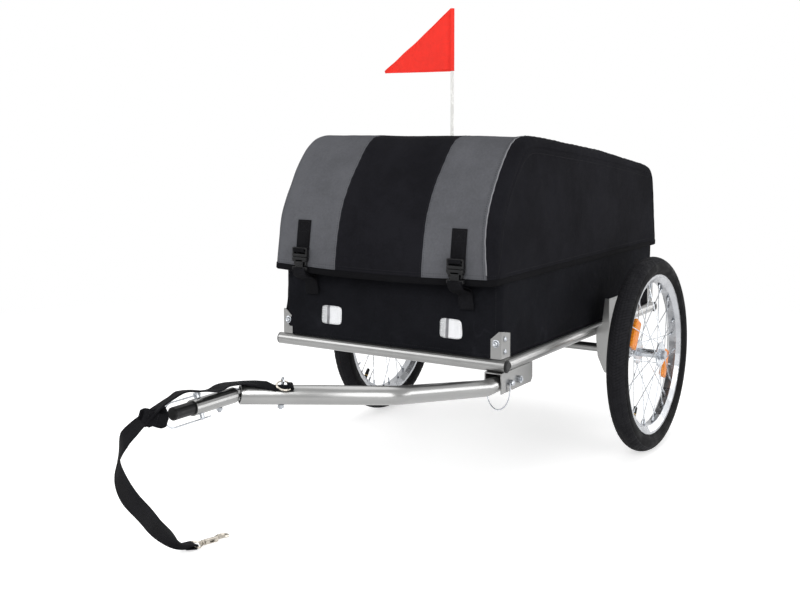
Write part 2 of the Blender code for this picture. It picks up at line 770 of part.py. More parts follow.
def side_tube(name, side):
    """A side tube whose ends are coped to fit round the two cross tubes."""
    bm = hollow_tube([Vector((side * SIDE_X, FRONT_Y, FRAME_Z)), Vector((side * SIDE_X, REAR_Y, FRAME_Z))],
                     TUBE_R, TUBE_WALL)
    piece = make_object(name, bm, "silver_paint")
    for y in (FRONT_Y, REAR_Y):
        reach = FRAME_W
        cope = rod([Vector((side * SIDE_X - reach, y, FRAME_Z)), Vector((side * SIDE_X + reach, y, FRAME_Z))],
                   TUBE_R + TOUCH, sides=SEGMENTS)
        cut(piece, cope)
    attach(piece, "chassis")


def end_cap(name, side, y):
    """A plastic plug with a low domed flange that covers a cross tube's end."""
    face = FRAME_W / 2 - CAP_T
    plug = TUBE_R - TUBE_WALL - TOUCH * 1.5
    outline = [(face - CAP_PLUG_L, 0), (face - CAP_PLUG_L, plug - 0.001), (face - CAP_PLUG_L + 0.002, plug),
               (face, plug), (face, TUBE_R), (face + CAP_T * 0.5, TUBE_R), (face + CAP_T, TUBE_R * 0.72),
               (face + CAP_T, 0)]
    bm = turned(outline, segments=16, centre=Vector((0, y, FRAME_Z)))
    attach(make_object(name, mirror_x(bm, side), "black_plastic"), "chassis")


def axle_tube():
    half = WEB_IN - TOUCH
    wall = AXLE_TUBE_R - AXLE_R - 0.0004
    bm = hollow_tube([Vector((-half, 0, AXLE_Z)), Vector((half, 0, AXLE_Z))], AXLE_TUBE_R, wall)
    attach(make_object("axle_tube", bm, "silver_paint"), "chassis")


def wheel_bracket(name, side):
    """Folded sheet: a web square to the axle and two flanges that reach in to the side tube."""
    front, rear = -WEB_FRONT, WEB_REAR
    z_shelf = FRAME_Z - TUBE_R
    web = [(front, BRACKET_BOTTOM), (front + 0.060, BRACKET_BOTTOM), (rear, BRACKET_BOTTOM + 0.012),
           (rear, FRAME_Z + 0.018), (rear - 0.052, BRACKET_TOP), (front, BRACKET_TOP)]
    piece = make_object("wheel_bracket_" + name, mirror_x(slab(web, WEB_T, along_x(WEB_IN)), side),
                        "silver_paint")
    edge = FRAME_W / 2 + TOUCH
    lap = WEB_OUT - 0.0004
    front_flange = [(lap, BRACKET_BOTTOM + 0.0005), (lap, BRACKET_TOP - 0.0005),
                    (WEB_OUT - 0.009, BRACKET_TOP - 0.0005), (edge + 0.012, FRAME_Z + TUBE_R + 0.004),
                    (edge, FRAME_Z + 0.004), (edge, z_shelf - 0.006), (edge + 0.0035, AXLE_Z + 0.004),
                    (edge + 0.0150, BRACKET_BOTTOM + 0.007), (edge + 0.0185, BRACKET_BOTTOM + 0.0005)]
    weld(piece, mirror_x(slab(front_flange, WEB_T, along_y(front)), side))
    rear_flange = [(lap, BRACKET_BOTTOM + 0.014), (lap, FRAME_Z + 0.016), (edge + 0.010, FRAME_Z + 0.016),
                   (edge, FRAME_Z + 0.004), (edge, z_shelf - 0.006), (edge + 0.0185, BRACKET_BOTTOM + 0.014)]
    weld(piece, mirror_x(slab(rear_flange, WEB_T, along_y(rear - WEB_T)), side))
    hole = rod([Vector((WEB_IN - 0.01, 0, AXLE_Z)), Vector((WEB_OUT + 0.01, 0, AXLE_Z))],
               AXLE_R + 0.0004, sides=SEGMENTS)
    cut(piece, mirror_x(hole, side))
    attach(piece, "chassis")


def corner_bracket(name, side, front):
    """An upright angle on the frame's corner, with a bolt head on its cross face."""
    low = FRAME_Z + TUBE_R + TOUCH
    high = low + CORNER_H
    face_in = (TUB_FRONT if front else TUB_REAR) + TOUCH
    face_out = face_in + CORNER_T
    x_in = TUB_HALF_W + TOUCH
    x_out = x_in + CORNER_T
    toward = -1 if front else 1
    cross = [(x_out - CORNER_FRONT_W, low), (x_out, low), (x_out, high), (x_out - 0.005, high),
             (x_out - CORNER_FRONT_W, high - CORNER_CHAMFER)]
    y0 = toward * face_out if front else toward * face_in
    piece = make_object("corner_bracket_" + name, mirror_x(slab(cross, CORNER_T, along_y(y0)), side),
                        "silver_paint")
    run = [(toward * (face_out - 0.0004), low + 0.0002), (toward * (face_out - CORNER_SIDE_W), low + 0.0002),
           (toward * (face_out - CORNER_SIDE_W), high - 0.006), (toward * (face_out - 0.005), high - 0.0003),
           (toward * (face_out - 0.0004), high - 0.0003)]
    weld(piece, mirror_x(slab(run, CORNER_T - 0.0002, along_x(x_in)), side))
    head_y = toward * (face_out - 0.001)
    for dx, z in ((0.011, low + CORNER_H * 0.56),):
        head = rod([Vector((x_out - dx, head_y, z)), Vector((x_out - dx, head_y + toward * 0.0036, z))],
                   0.0042, sides=6)
        weld(piece, mirror_x(head, side))
    attach(piece, "chassis")


def floor_board():
    clear = FABRIC_T + TOUCH
    outline = rounded_rectangle(TUB_HALF_W - clear, -TUB_FRONT + clear, TUB_REAR - clear,
                                TUB_CORNER_R - clear)
    z0 = FLOOR_Z + FABRIC_T + TOUCH
    bm = slab(outline, FLOOR_T, lambda u, v, w: Vector((u, v, z0 + w)))
    attach(make_object("floor_board", bm, "black_plastic"), "chassis")
    return z0 + FLOOR_T


def tub_frame(board_top):
    """Four posts and a rectangular hoop of one rod, which the tub's fabric hangs from."""
    inset = FABRIC_T + TOUCH + TUB_ROD_R
    hoop_z = TUB_TOP - TUB_ROD_R
    half = TUB_HALF_W - inset
    y0, y1 = -TUB_FRONT + inset, TUB_REAR - inset
    loop = [Vector((x, y, hoop_z)) for x, y in rounded_rectangle(half, y0, y1, 0.014, steps=3)]
    bm = bmesh.new()
    rings = []
    count = len(loop)
    for k, point in enumerate(loop):
        tangent = (loop[(k + 1) % count] - loop[k - 1]).normalized()
        side = Vector((0, 0, 1)).cross(tangent)
        rings.append(ring_loop(bm, point, side, Vector((0, 0, 1)), TUB_ROD_R, 8))
    for k in range(count):
        bridge(bm, rings[k], rings[(k + 1) % count])
    piece = make_object("tub_frame", bm, "silver_paint")
    for x in (-half + 0.020, half - 0.020):
        for y in (y0, y1):
            post = rod([Vector((x, y, board_top + TOUCH)), Vector((x, y, hoop_z))], TUB_ROD_R - 0.0003, sides=8)
            weld(piece, post)
    attach(piece, "chassis")
    return hoop_z


def tub_fabric():
    """The open tub: a floor and four walls of one sheet."""
    bm = bmesh.new()
    outer = rounded_rectangle(TUB_HALF_W, -TUB_FRONT, TUB_REAR, TUB_CORNER_R)
    inner = rounded_rectangle(TUB_HALF_W - FABRIC_T, -TUB_FRONT + FABRIC_T, TUB_REAR - FABRIC_T,
                              TUB_CORNER_R - FABRIC_T)
    rows = [(outer, FLOOR_Z), (outer, TUB_TOP), (inner, TUB_TOP), (inner, FLOOR_Z + FABRIC_T)]
    loops = [[bm.verts.new((x, y, z)) for x, y in line] for line, z in rows]
    for first, second in zip(loops, loops[1:]):
        bridge(bm, first, second)
    bm.faces.new(loops[0])
    bm.faces.new(loops[-1])
    attach(make_object("tub_fabric", bm, "black_fabric"), "chassis")


# Cover

def cover_profile():
    """The cover's outline in (y, z), from the front hem over the ridge to the rear hem."""
    corners = [(-COVER_FRONT_HEM, COVER_HEM_Z), (-COVER_BULGE, COVER_BULGE_Z),
               (-COVER_RIDGE, COVER_RIDGE_Z), (COVER_TAIL, COVER_TAIL_Z), (COVER_REAR_HEM, COVER_HEM_Z)]
    return filleted(corners, (0.055, 0.060, 0.030), steps=5)


def inset_profile(profile, depth):
    """The profile moved inwards, with its two ends kept on the hem's level."""
    moved = []
    last = len(profile) - 1
    for k, point in enumerate(profile):
        before = profile[max(k - 1, 0)]
        after = profile[min(k + 1, last)]
        along = (after - before).normalized()
        moved.append(point + Vector((along.y, -along.x)) * depth)
    for end, neighbour in ((0, 1), (last, last - 1)):
        step = moved[neighbour] - moved[end]
        moved[end] = moved[end] + step * ((profile[end].y - moved[end].y) / step.y)
    return moved


def hood_skin(bm, profile, half_width, edge_radius, steps=3):
    """Half-round edged hood surface; returns its hem as a closed loop of vertices."""
    columns = []
    for k in range(steps + 1):
        angle = math.radians(90 * k / steps)
        columns.append((half_width - edge_radius + edge_radius * math.cos(angle),
                        edge_radius * (1 - math.sin(angle))))
    columns = columns + [(-x, depth) for x, depth in reversed(columns)]
    grid = []
    for x, depth in columns:
        line = inset_profile(profile, depth) if depth > 0 else profile
        grid.append([bm.verts.new((x, p.x, p.y)) for p in line])
    for first, second in zip(grid, grid[1:]):
        for k in range(len(profile) - 1):
            bm.faces.new((first[k], first[k + 1], second[k + 1], second[k]))
    bm.faces.new(grid[0])
    bm.faces.new(grid[-1])
    hem = [column[0] for column in grid] + [column[-1] for column in reversed(grid)]
    return hem


def cover_fabric():
    bm = bmesh.new()
    profile = cover_profile()
    outer = hood_skin(bm, profile, COVER_HALF_W, COVER_EDGE_R)
    inner = hood_skin(bm, inset_profile(profile, FABRIC_T), COVER_HALF_W - FABRIC_T,
                      COVER_EDGE_R - FABRIC_T)
    bridge(bm, outer, inner)
    attach(make_object("cover_fabric", bm, "black_fabric"), "cover")


def profile_y_at(profile, z, front=True):
    """Where the front or the rear of a profile stands at a height."""
    points = profile if front else list(reversed(profile))
    for first, second in zip(points, points[1:]):
        if first.y <= z <= second.y:
            return first.x + (second.x - first.x) * (z - first.y) / (second.y - first.y)
    return points[0].x


def cover_frame(hoop_z):
    """One wire frame: a base hoop, two bows under the cloth and a rear rod that it turns on."""
    inner = inset_profile(cover_profile(), FABRIC_T + BOW_SLACK + COVER_ROD_R)
    half = COVER_HALF_W - FABRIC_T - BOW_SLACK - COVER_ROD_R
    base_z = hoop_z + TUB_ROD_R + COVER_ROD_R + TOUCH
    inset = FABRIC_T + TOUCH + TUB_ROD_R
    base_half = TUB_HALF_W - inset
    base_rear = TUB_REAR - inset
    loop = [Vector((x, y, base_z)) for x, y in
            rounded_rectangle(base_half, -TUB_FRONT + inset, base_rear, 0.014, steps=3)]
    bm = bmesh.new()
    rings = []
    count = len(loop)
    for k, point in enumerate(loop):
        tangent = (loop[(k + 1) % count] - loop[k - 1]).normalized()
        side = UP.cross(tangent)
        rings.append(ring_loop(bm, point, side, UP, COVER_ROD_R, 8))
    for k in range(count):
        bridge(bm, rings[k], rings[(k + 1) % count])
    piece = make_object("cover_frame", bm, "silver_paint")
    ridge = max(range(len(inner)), key=lambda k: inner[k].y)
    rear_top = [p for p in inner if p.x > 0][0]
    bow_half = half - COVER_EDGE_R * 0.35
    for top, foot_y in ((inner[ridge], inner[ridge].x - 0.030), (rear_top, rear_top.x - 0.012)):
        corners = [(-base_half, foot_y, base_z), (-bow_half, top.x, top.y), (bow_half, top.x, top.y),
                   (base_half, foot_y, base_z)]
        weld(piece, rod(filleted(corners, (0.030, 0.030), steps=3), COVER_ROD_R - 0.0002, sides=8))
    axis_y, axis_z = hinge_axis()
    weld(piece, rod([Vector((-HINGE_HALF, axis_y, axis_z)), Vector((HINGE_HALF, axis_y, axis_z))],
                    COVER_ROD_R, sides=16))
    for x in (-HINGE_LEG_X, HINGE_LEG_X):
        over = base_z + 0.0045
        corners = [Vector((x, base_rear - 0.001, base_z)), Vector((x, axis_y, over)), Vector((x, axis_y, axis_z))]
        weld(piece, rod(corners, COVER_ROD_R - 0.0003, sides=8, hint=Vector((1, 0, 0))))
    attach(piece, "cover")


def hinge_axis():
    return TUB_REAR + HINGE_OUT, COVER_HEM_Z


def hinge_clip(name, side):
    """A clip riveted to the tub's rear wall, with the ring that the cover's rod turns in."""
    axis_y, axis_z = hinge_axis()
    bore = running_bore(COVER_ROD_R, 16)
    outer = bore + CLIP_WALL
    x = side * (TUB_HALF_W - CLIP_IN) - CLIP_W / 2
    ring = turned([(0, bore), (0, outer), (CLIP_W, outer), (CLIP_W, bore)], segments=16,
                  centre=Vector((x, axis_y, axis_z)))
    piece = make_object("hinge_clip_" + name, ring, "zinc")
    y0 = TUB_REAR + TOUCH
    weld(piece, box((x + 0.0005, y0, axis_z - CLIP_PLATE_H), (x + CLIP_W - 0.0005, y0 + CLIP_PLATE_T, axis_z + 0.004)))
    attach(piece, "chassis")


# Buckles

def buckle_place(side):
    return side * (TUB_HALF_W - BUCKLE_IN)


def cover_front_y(z):
    return profile_y_at(cover_profile(), z)


def upper_strap(name, side):
    """Webbing sewn to the cover's front, its foot led forward to the buckle plug's back."""
    x = buckle_place(side)
    heights = [UPPER_STRAP_TOP - (UPPER_STRAP_TOP - BUCKLE_TOP + 0.003) * k / 5 for k in range(6)]
    line = [(cover_front_y(z) - TOUCH, z) for z in heights]
    line[-1] = (buckle_back_y() + TOUCH + WEBBING_T, heights[-1])
    outline = line + [(y - WEBBING_T, z) for y, z in reversed(line)]
    bm = slab(outline, WEBBING_W, along_x(x - WEBBING_W / 2))
    attach(make_object("upper_strap_" + name, bm, "webbing"), "cover")


def buckle_back_y():
    """The buckle lies this far forward, clear of the cover's hem and its webbing."""
    return -COVER_FRONT_HEM - WEBBING_T - TOUCH * 3


def buckle_plug(name, side):
    """The upper half: a bar for the webbing and two prongs that enter the socket."""
    x = buckle_place(side)
    y1 = buckle_back_y()
    y0 = y1 - BUCKLE_T
    bm = box((x - BUCKLE_W / 2, y0, BUCKLE_SPLIT + TOUCH), (x + BUCKLE_W / 2, y1, BUCKLE_TOP))
    bmesh.ops.bevel(bm, geom=bm.edges[:], offset=0.0018, segments=1, affect="EDGES")
    piece = make_object("buckle_plug_" + name, bm, "black_plastic")
    for dx in (-0.008, 0.008):
        prong = box((x + dx - 0.0022, y0 + 0.0032, BUCKLE_SPLIT - PRONG_L),
                    (x + dx + 0.0022, y1 - 0.0034, BUCKLE_SPLIT + 0.004))
        weld(piece, prong)
    slot = box((x - 0.010, y0 - 0.002, BUCKLE_TOP - 0.0062), (x + 0.010, y1 + 0.002, BUCKLE_TOP - 0.0034))
    cut(piece, slot)
    attach(piece, "cover")


def buckle_socket(name, side):
    """The lower half, with the webbing that ties it to the tub's front."""
    x = buckle_place(side)
    y1 = buckle_back_y()
    y0 = y1 - BUCKLE_T
    bm = box((x - BUCKLE_W / 2, y0, BUCKLE_BOTTOM), (x + BUCKLE_W / 2, y1, BUCKLE_SPLIT))
    bmesh.ops.bevel(bm, geom=bm.edges[:], offset=0.0018, segments=1, affect="EDGES")
    piece = make_object("buckle_socket_" + name, bm, "black_plastic")
    cavity = box((x - 0.0112, y0 + 0.0020, BUCKLE_SPLIT - PRONG_L - 0.0012),
                 (x + 0.0112, y1 - 0.0018, BUCKLE_SPLIT + 0.01))
    cut(piece, cavity)
    wall = -TUB_FRONT - TOUCH
    middle = (y0 + y1) / 2
    corners = [(middle, BUCKLE_BOTTOM + 0.0015), (middle, BUCKLE_BOTTOM - 0.006),
               (wall - WEBBING_T / 2, BUCKLE_BOTTOM - 0.028), (wall - WEBBING_T / 2, LOWER_STRAP_END)]
    line = filleted(corners, (0.006, 0.010), steps=3)
    webbing = slab(thick_line(line, WEBBING_T), WEBBING_W - 0.001, along_x(x - (WEBBING_W - 0.001) / 2))
    weld(piece, webbing)
    attach(piece, "chassis")


def thick_line(points, thickness):
    """A closed outline that follows a polyline with a thickness."""
    one, two = [], []
    last = len(points) - 1
    for k, point in enumerate(points):
        before = points[max(k - 1, 0)]
        after = points[min(k + 1, last)]
        along = (Vector(after) - Vector(before)).normalized()
        across = Vector((-along.y, along.x)) * thickness / 2
        one.append(tuple(Vector(point) + across))
        two.append(tuple(Vector(point) - across))
    return one + list(reversed(two))


# Flag

def flag_socket():
    """A tube on the right-hand side tube that the flag pole drops into."""
    bore = POLE_R / math.cos(math.pi / 16) + SLIP * 0.5
    outer = bore + SOCKET_WALL
    z1 = FRAME_Z + SOCKET_L / 2
    z0 = FRAME_Z - SOCKET_L / 2
    outline = [(z0, 0), (z0, outer), (z1, outer), (z1, bore), (z0 + 0.003, bore), (z0 + 0.003, 0)]
    bm = turned(outline, segments=16, axis=Vector((0, 0, 1)), centre=Vector((POLE_X, POLE_Y, 0)))
    piece = make_object("flag_socket", bm, "black_plastic")
    attach(piece, "chassis")
    return z0 + 0.003


def flag_pole(foot):
    z0 = foot + TOUCH
    bm = turned([(z0, 0), (z0, POLE_R - 0.0008), (z0 + 0.001, POLE_R), (POLE_TOP - 0.001, POLE_R),
                 (POLE_TOP, POLE_R - 0.0008), (POLE_TOP, 0)],
                segments=16, axis=Vector((0, 0, 1)), centre=Vector((POLE_X, POLE_Y, 0)))
    attach(make_object("flag_pole", bm, "white_plastic"), "flag")


def flag():
    """The pennant: a triangle with a sleeve sewn round the pole."""
    bore = POLE_R / math.cos(math.pi / 16) + TOUCH
    top = POLE_TOP - 0.002
    low = top - FLAG_H
    outline = [(low, bore), (low, bore + FLAG_T), (top, bore + FLAG_T), (top, bore)]
    bm = turned(outline, segments=16, axis=Vector((0, 0, 1)), centre=Vector((POLE_X, POLE_Y, 0)))
    piece = make_object("flag_pennant", bm, "red_fabric")
    start = POLE_X - bore - FLAG_T * 0.5
    tip = POLE_X - FLAG_W
    steps = 8
    line_top, line_low = [], []
    bm = bmesh.new()
    for k in range(steps + 1):
        share = k / steps
        x = start + (tip - start) * share
        wave = 0.006 * math.sin(share * math.pi * 1.6) * share
        z_top = top - (FLAG_H - 0.004) * share
        for y_off, line in ((-FLAG_T / 2, line_top), (FLAG_T / 2, line_low)):
            line.append((bm.verts.new((x, POLE_Y + wave + y_off, z_top - 0.0002)),
                         bm.verts.new((x, POLE_Y + wave + y_off, low + 0.0002))))
    for k in range(steps):
        for line in (line_top, line_low):
            bm.faces.new((line[k][0], line[k + 1][0], line[k + 1][1], line[k][1]))
        for row in (0, 1):
            bm.faces.new((line_top[k][row], line_top[k + 1][row], line_low[k + 1][row], line_low[k][row]))
    for k in (0, steps):
        bm.faces.new((line_top[k][0], line_top[k][1], line_low[k][1], line_low[k][0]))
    weld(piece, bm)
    attach(piece, "flag")


# Towbar

def towbar_bracket():
    """A channel, open below, under the front left corner; its pin slots open downwards."""
    half_in = BAR_R + SLIP
    x0, x1 = BAR_X - half_in - CHANNEL_T, BAR_X + half_in + CHANNEL_T
    top = FRAME_Z - TUBE_R - TOUCH
    outline = [(-CHANNEL_FRONT, CHANNEL_BOTTOM), (-CHANNEL_REAR - 0.006, CHANNEL_BOTTOM),
               (-CHANNEL_REAR, CHANNEL_BOTTOM + 0.008), (-CHANNEL_REAR, top), (-CHANNEL_FRONT, top)]
    piece = make_object("towbar_bracket", slab(outline, x1 - x0, along_x(x0)), "silver_paint")
    cut(piece, box((BAR_X - half_in, -CHANNEL_FRONT - 0.01, CHANNEL_BOTTOM - 0.01),
                   (BAR_X + half_in, -CHANNEL_REAR + 0.01, top - CHANNEL_T)))
    cut(piece, rod([Vector((x0 - 0.01, -PIVOT_AT, BAR_Z)), Vector((x1 + 0.01, -PIVOT_AT, BAR_Z))],
                   PIVOT_R + TOUCH, sides=SEGMENTS))
    pin_r = LOCK_PIN_R + SLIP
    cut(piece, rod([Vector((x0 - 0.01, -LOCK_AT, BAR_Z)), Vector((x1 + 0.01, -LOCK_AT, BAR_Z))],
                   pin_r, sides=16))
    cut(piece, slab(pin_path(pin_r), x1 - x0 + 0.02, along_x(x0 - 0.01)))
    attach(piece, "chassis")
    return x0, x1


def pin_path(half):
    """The band that the lock pin sweeps about the pivot as the bar folds down."""
    arm = LOCK_AT - PIVOT_AT
    turn = math.radians(45)
    outer, inner = [], []
    for k in range(7):
        angle = turn * k / 6
        for radius, line in ((arm + half, outer), (arm - half, inner)):
            line.append((-PIVOT_AT - radius * math.cos(angle), BAR_Z - radius * math.sin(angle)))
    return outer + list(reversed(inner))


def pivot_bolt(x0, x1):
    """A headed bolt with its nut, through both plates of the channel."""
    head = 0.0065
    outline = [(x0 - TOUCH - 0.0055, 0), (x0 - TOUCH - 0.0055, head), (x0 - TOUCH, head), (x0 - TOUCH, PIVOT_R),
               (x1 + TOUCH, PIVOT_R), (x1 + TOUCH, head), (x1 + TOUCH + 0.0050, head),
               (x1 + TOUCH + 0.0050, PIVOT_R - 0.001), (x1 + TOUCH + 0.0075, PIVOT_R - 0.001),
               (x1 + TOUCH + 0.0075, 0)]
    bm = turned(outline, segments=SEGMENTS, centre=Vector((0, -PIVOT_AT, BAR_Z)))
    attach(make_object("towbar_pivot_bolt", bm, "zinc"), "chassis")


def towbar_tube():
    """The bent bar, with the two level lugs of the knuckle welded in its front end."""
    end = KNUCKLE - BAR_AIM * TUBE_END_GAP
    line = filleted(BAR_LINE[:3] + [end], (0.045, BEND_R), steps=3)
    piece = make_object("towbar_tube", hollow_tube(line, BAR_R, BAR_WALL, sides=BAR_SIDES), "silver_paint")
    for at, bore in ((PIVOT_AT, running_bore(PIVOT_R, SEGMENTS)), (LOCK_AT, LOCK_PIN_R + SLIP)):
        cut(piece, rod([Vector((BAR_X - 0.03, -at, BAR_Z)), Vector((BAR_X + 0.03, -at, BAR_Z))],
                       bore, sides=SEGMENTS))
    plug_face = end - BAR_AIM * 0.004
    weld(piece, rod([end - BAR_AIM * 0.018, plug_face], BAR_R - BAR_WALL * 0.5, sides=BAR_SIDES))
    for offset in (-1, 1):
        weld(piece, lug(plug_face - BAR_AIM * 0.002, BAR_AIM, offset * (LUG_T + TOUCH)))
    cut(piece, rod([KNUCKLE - UP * 0.03, KNUCKLE + UP * 0.03], KNUCKLE_PIN_R + TOUCH, sides=16))
    side, up = cross_frame(BAR_AIM)
    bolt_at = KNUCKLE - BAR_AIM * RING_BACK
    cut(piece, rod([bolt_at - up * 0.03, bolt_at + up * 0.03], BOLT_R + TOUCH, sides=12, hint=BAR_AIM))
    attach(piece, "towbar")


def lug(root, aim, height):
    """A level lug that runs from inside a tube's end to a rounded eye on the knuckle pin."""
    along = Vector((aim.x, aim.y, 0)).normalized()
    across = UP.cross(along)
    reach = (KNUCKLE - root).dot(along)
    outline = [(0, -LUG_R)]
    for k in range(9):
        angle = -math.pi / 2 + math.pi * k / 8
        outline.append((reach + LUG_R * math.cos(angle), LUG_R * math.sin(angle)))
    outline.append((0, LUG_R))
    base = KNUCKLE - along * reach + UP * (height - LUG_T / 2)
    return slab(outline, LUG_T, lambda u, v, w: base + along * u + across * v + UP * w)


def knuckle_pin():
    """A headed pin through the two lugs of the bar and the tongue between them."""
    half = LUG_T * 1.5 + TOUCH * 2
    head = 0.0012
    outline = [(-half - head, 0), (-half - head, 0.0044), (-half, 0.0044), (-half, KNUCKLE_PIN_R),
               (half, KNUCKLE_PIN_R), (half, 0.0044), (half + head, 0.0044), (half + head, 0)]
    bm = turned(outline, segments=16, axis=UP, centre=KNUCKLE)
    attach(make_object("knuckle_pin", bm, "zinc"), "towbar")


def ring_bolt():
    """A bolt up through the bar, with its nut below and an eye on top for the ring."""
    side, up = cross_frame(BAR_AIM)
    at = KNUCKLE - BAR_AIM * RING_BACK
    low = BAR_R + TOUCH
    outline = [(-low - 0.0065, 0), (-low - 0.0065, BOLT_R), (-low - 0.0045, BOLT_R), (-low - 0.0045, 0.0046),
               (-low, 0.0046), (-low, BOLT_R), (low + 0.001, BOLT_R), (low + 0.001, 0)]
    bm = turned(outline, segments=12, axis=up, centre=at)
    piece = make_object("d_ring_bolt", bm, "zinc")
    weld(piece, wire_ring(at + up * EYE_HEIGHT, BAR_AIM, EYE_R, EYE_WIRE_R, segments=14, sides=6))
    attach(piece, "towbar")


def ring_frame():
    """The ring's eye end, the way it leans from there, and the direction square to it."""
    side, up = cross_frame(BAR_AIM)
    lift = BAR_R + STRAP_T + RING_WIRE_R + TOUCH * 2
    angle = math.asin(lift / EYE_HEIGHT)
    lean = side * math.sin(angle) - up * math.cos(angle)
    out = side * math.cos(angle) + up * math.sin(angle)
    return KNUCKLE - BAR_AIM * RING_BACK + up * EYE_HEIGHT, lean, out


def d_ring():
    """A round ring through the bolt's eye that leans on the strap, on the bar's near side."""
    eye, lean, out = ring_frame()
    bm = wire_ring(eye + lean * RING_R, out, RING_R, RING_WIRE_R, segments=20, sides=6)
    attach(make_object("d_ring", bm, "zinc"), "towbar")


def running_bore(shaft, sides):
    """Bore radius, to its corners, that lets a shaft of as many sides turn."""
    return shaft / math.cos(math.pi / sides) + RUN


def lock_pin(name, body, base, axis, grip, radius, hint):
    """A pin with a round head at its outer end, cross-bored for its bail."""
    head_r = radius + 0.0018
    outline = [(-grip - 0.004, 0), (-grip - 0.004, radius * 0.6), (-grip - 0.001, radius), (0, radius),
               (0, head_r), (0.0060, head_r), (0.0072, head_r - 0.0012), (0.0072, 0)]
    piece = make_object(name, turned(outline, segments=16, axis=axis, centre=base), "zinc")
    hinge = base + axis * PIN_HEAD_HINGE
    side = hint.cross(axis).normalized()
    cut(piece, rod([hinge - side * 0.02, hinge + side * 0.02], running_bore(BAIL_R, 8), sides=8, hint=axis))
    attach(piece, body)


def bail(name, hinge, side, axis, drop, shape):
    """A sprung wire: a stub through the pin's head and a bow that ends beyond the pin's tip."""
    start, depth, far, lift = shape
    path = [hinge + side * BAIL_STUB, hinge - side * BAIL_LEG]
    steps = 12
    middle = hinge - axis * far / 2
    for k in range(steps + 1):
        angle = math.pi * k / steps
        share = k / steps
        offset = side * (-BAIL_LEG + (BAIL_LEG - BAIL_R) * share)
        level = start + (lift - start) * share
        path.append(middle + axis * (far / 2) * math.cos(angle) + offset
                    + drop * (level + (depth - start) * math.sin(angle)))
    bm = rod(path, BAIL_R, sides=8, hint=axis)
    return make_object(name, bm, "zinc")


def bracket_pin(x1):
    base = Vector((x1 + TOUCH, -LOCK_AT, BAR_Z))
    grip = (BAR_R + SLIP + CHANNEL_T + TOUCH) * 2
    axis = Vector((1, 0, 0))
    add_body("bracket_pin", base, "towbar")
    lock_pin("bracket_pin", "bracket_pin", base, axis, grip, LOCK_PIN_R, UP)
    hinge = base + axis * PIN_HEAD_HINGE
    add_body("bracket_bail", hinge, "bracket_pin")
    shape = (BRACKET_BAIL_START, BRACKET_BAIL_DEPTH, BRACKET_BAIL_SPAN, BRACKET_BAIL_END)
    piece = bail("bracket_bail", hinge, Vector((0, 1, 0)), axis, -UP, shape)
    attach(piece, "bracket_bail")


# Coupler

def coupler_point(back, height=0.0):
    """A point on the sleeve's axis, measured back from the sleeve's front end."""
    return KNUCKLE + COUPLER_AIM * (TUBE_END_GAP + SLEEVE_L - back) + UP * height


def coupler():
    start = KNUCKLE + COUPLER_AIM * TUBE_END_GAP
    piece = make_object("coupler_sleeve", hollow_tube([start, coupler_point(0)], SLEEVE_R, SLEEVE_WALL, sides=20),
                        "silver_paint")
    plug_face = start + COUPLER_AIM * 0.004
    weld(piece, rod([plug_face, start + COUPLER_AIM * 0.016], SLEEVE_R - SLEEVE_WALL * 0.5, sides=20))
    tongue = lug(plug_face + COUPLER_AIM * 0.002, -COUPLER_AIM, 0.0)
    weld(piece, tongue)
    cut(piece, rod([KNUCKLE - UP * 0.03, KNUCKLE + UP * 0.03], running_bore(KNUCKLE_PIN_R, 16), sides=16))
    lean = pin_axis()
    pin_at = coupler_point(COUPLER_PIN_BACK)
    bolt_at = coupler_point(COUPLER_BOLT_BACK)
    inner = SLEEVE_R - SLEEVE_WALL - 0.0004
    front = -ROD_OUT
    profile = [(front, 0), (front, inner - 0.0015), (front + 0.0015, inner), (ROD_IN - 0.001, inner),
               (ROD_IN, inner - 0.001), (ROD_IN, 0)]
    bar = make_object("hitch_rod", turned(profile, segments=20, axis=-COUPLER_AIM, centre=coupler_point(0)),
                      "black_plastic")
    for solid in (piece, bar):
        cut(solid, rod([pin_at - lean * 0.03, pin_at + lean * 0.03], COUPLER_PIN_R + SLIP * 0.5, sides=16))
        cut(solid, rod([bolt_at - UP * 0.03, bolt_at + UP * 0.03], BOLT_R + TOUCH, sides=12))
    attach(piece, "coupler")
    attach(bar, "coupler")
    low = SLEEVE_R + TOUCH
    profile = [(-low - 0.0062, 0), (-low - 0.0062, BOLT_R), (-low - 0.0036, BOLT_R), (-low - 0.0036, 0.0044),
               (-low, 0.0044), (-low, BOLT_R), (low, BOLT_R), (low, 0.0044), (low + 0.0015, 0.0036),
               (low + 0.0015, 0)]
    bolt = turned(profile, segments=12, axis=UP, centre=bolt_at)
    attach(make_object("coupler_bolt", bolt, "zinc"), "coupler")

    base = pin_at + lean * (SLEEVE_R + TOUCH)
    grip = (SLEEVE_R + TOUCH) * 2 + 0.004
    add_body("coupler_pin", base, "coupler")
    lock_pin("coupler_pin", "coupler_pin", base, lean, grip, COUPLER_PIN_R, lean.cross(COUPLER_AIM))
    hinge = base + lean * PIN_HEAD_HINGE
    add_body("coupler_bail", hinge, "coupler_pin")
    attach(coupler_bail(hinge, lean), "coupler_bail")


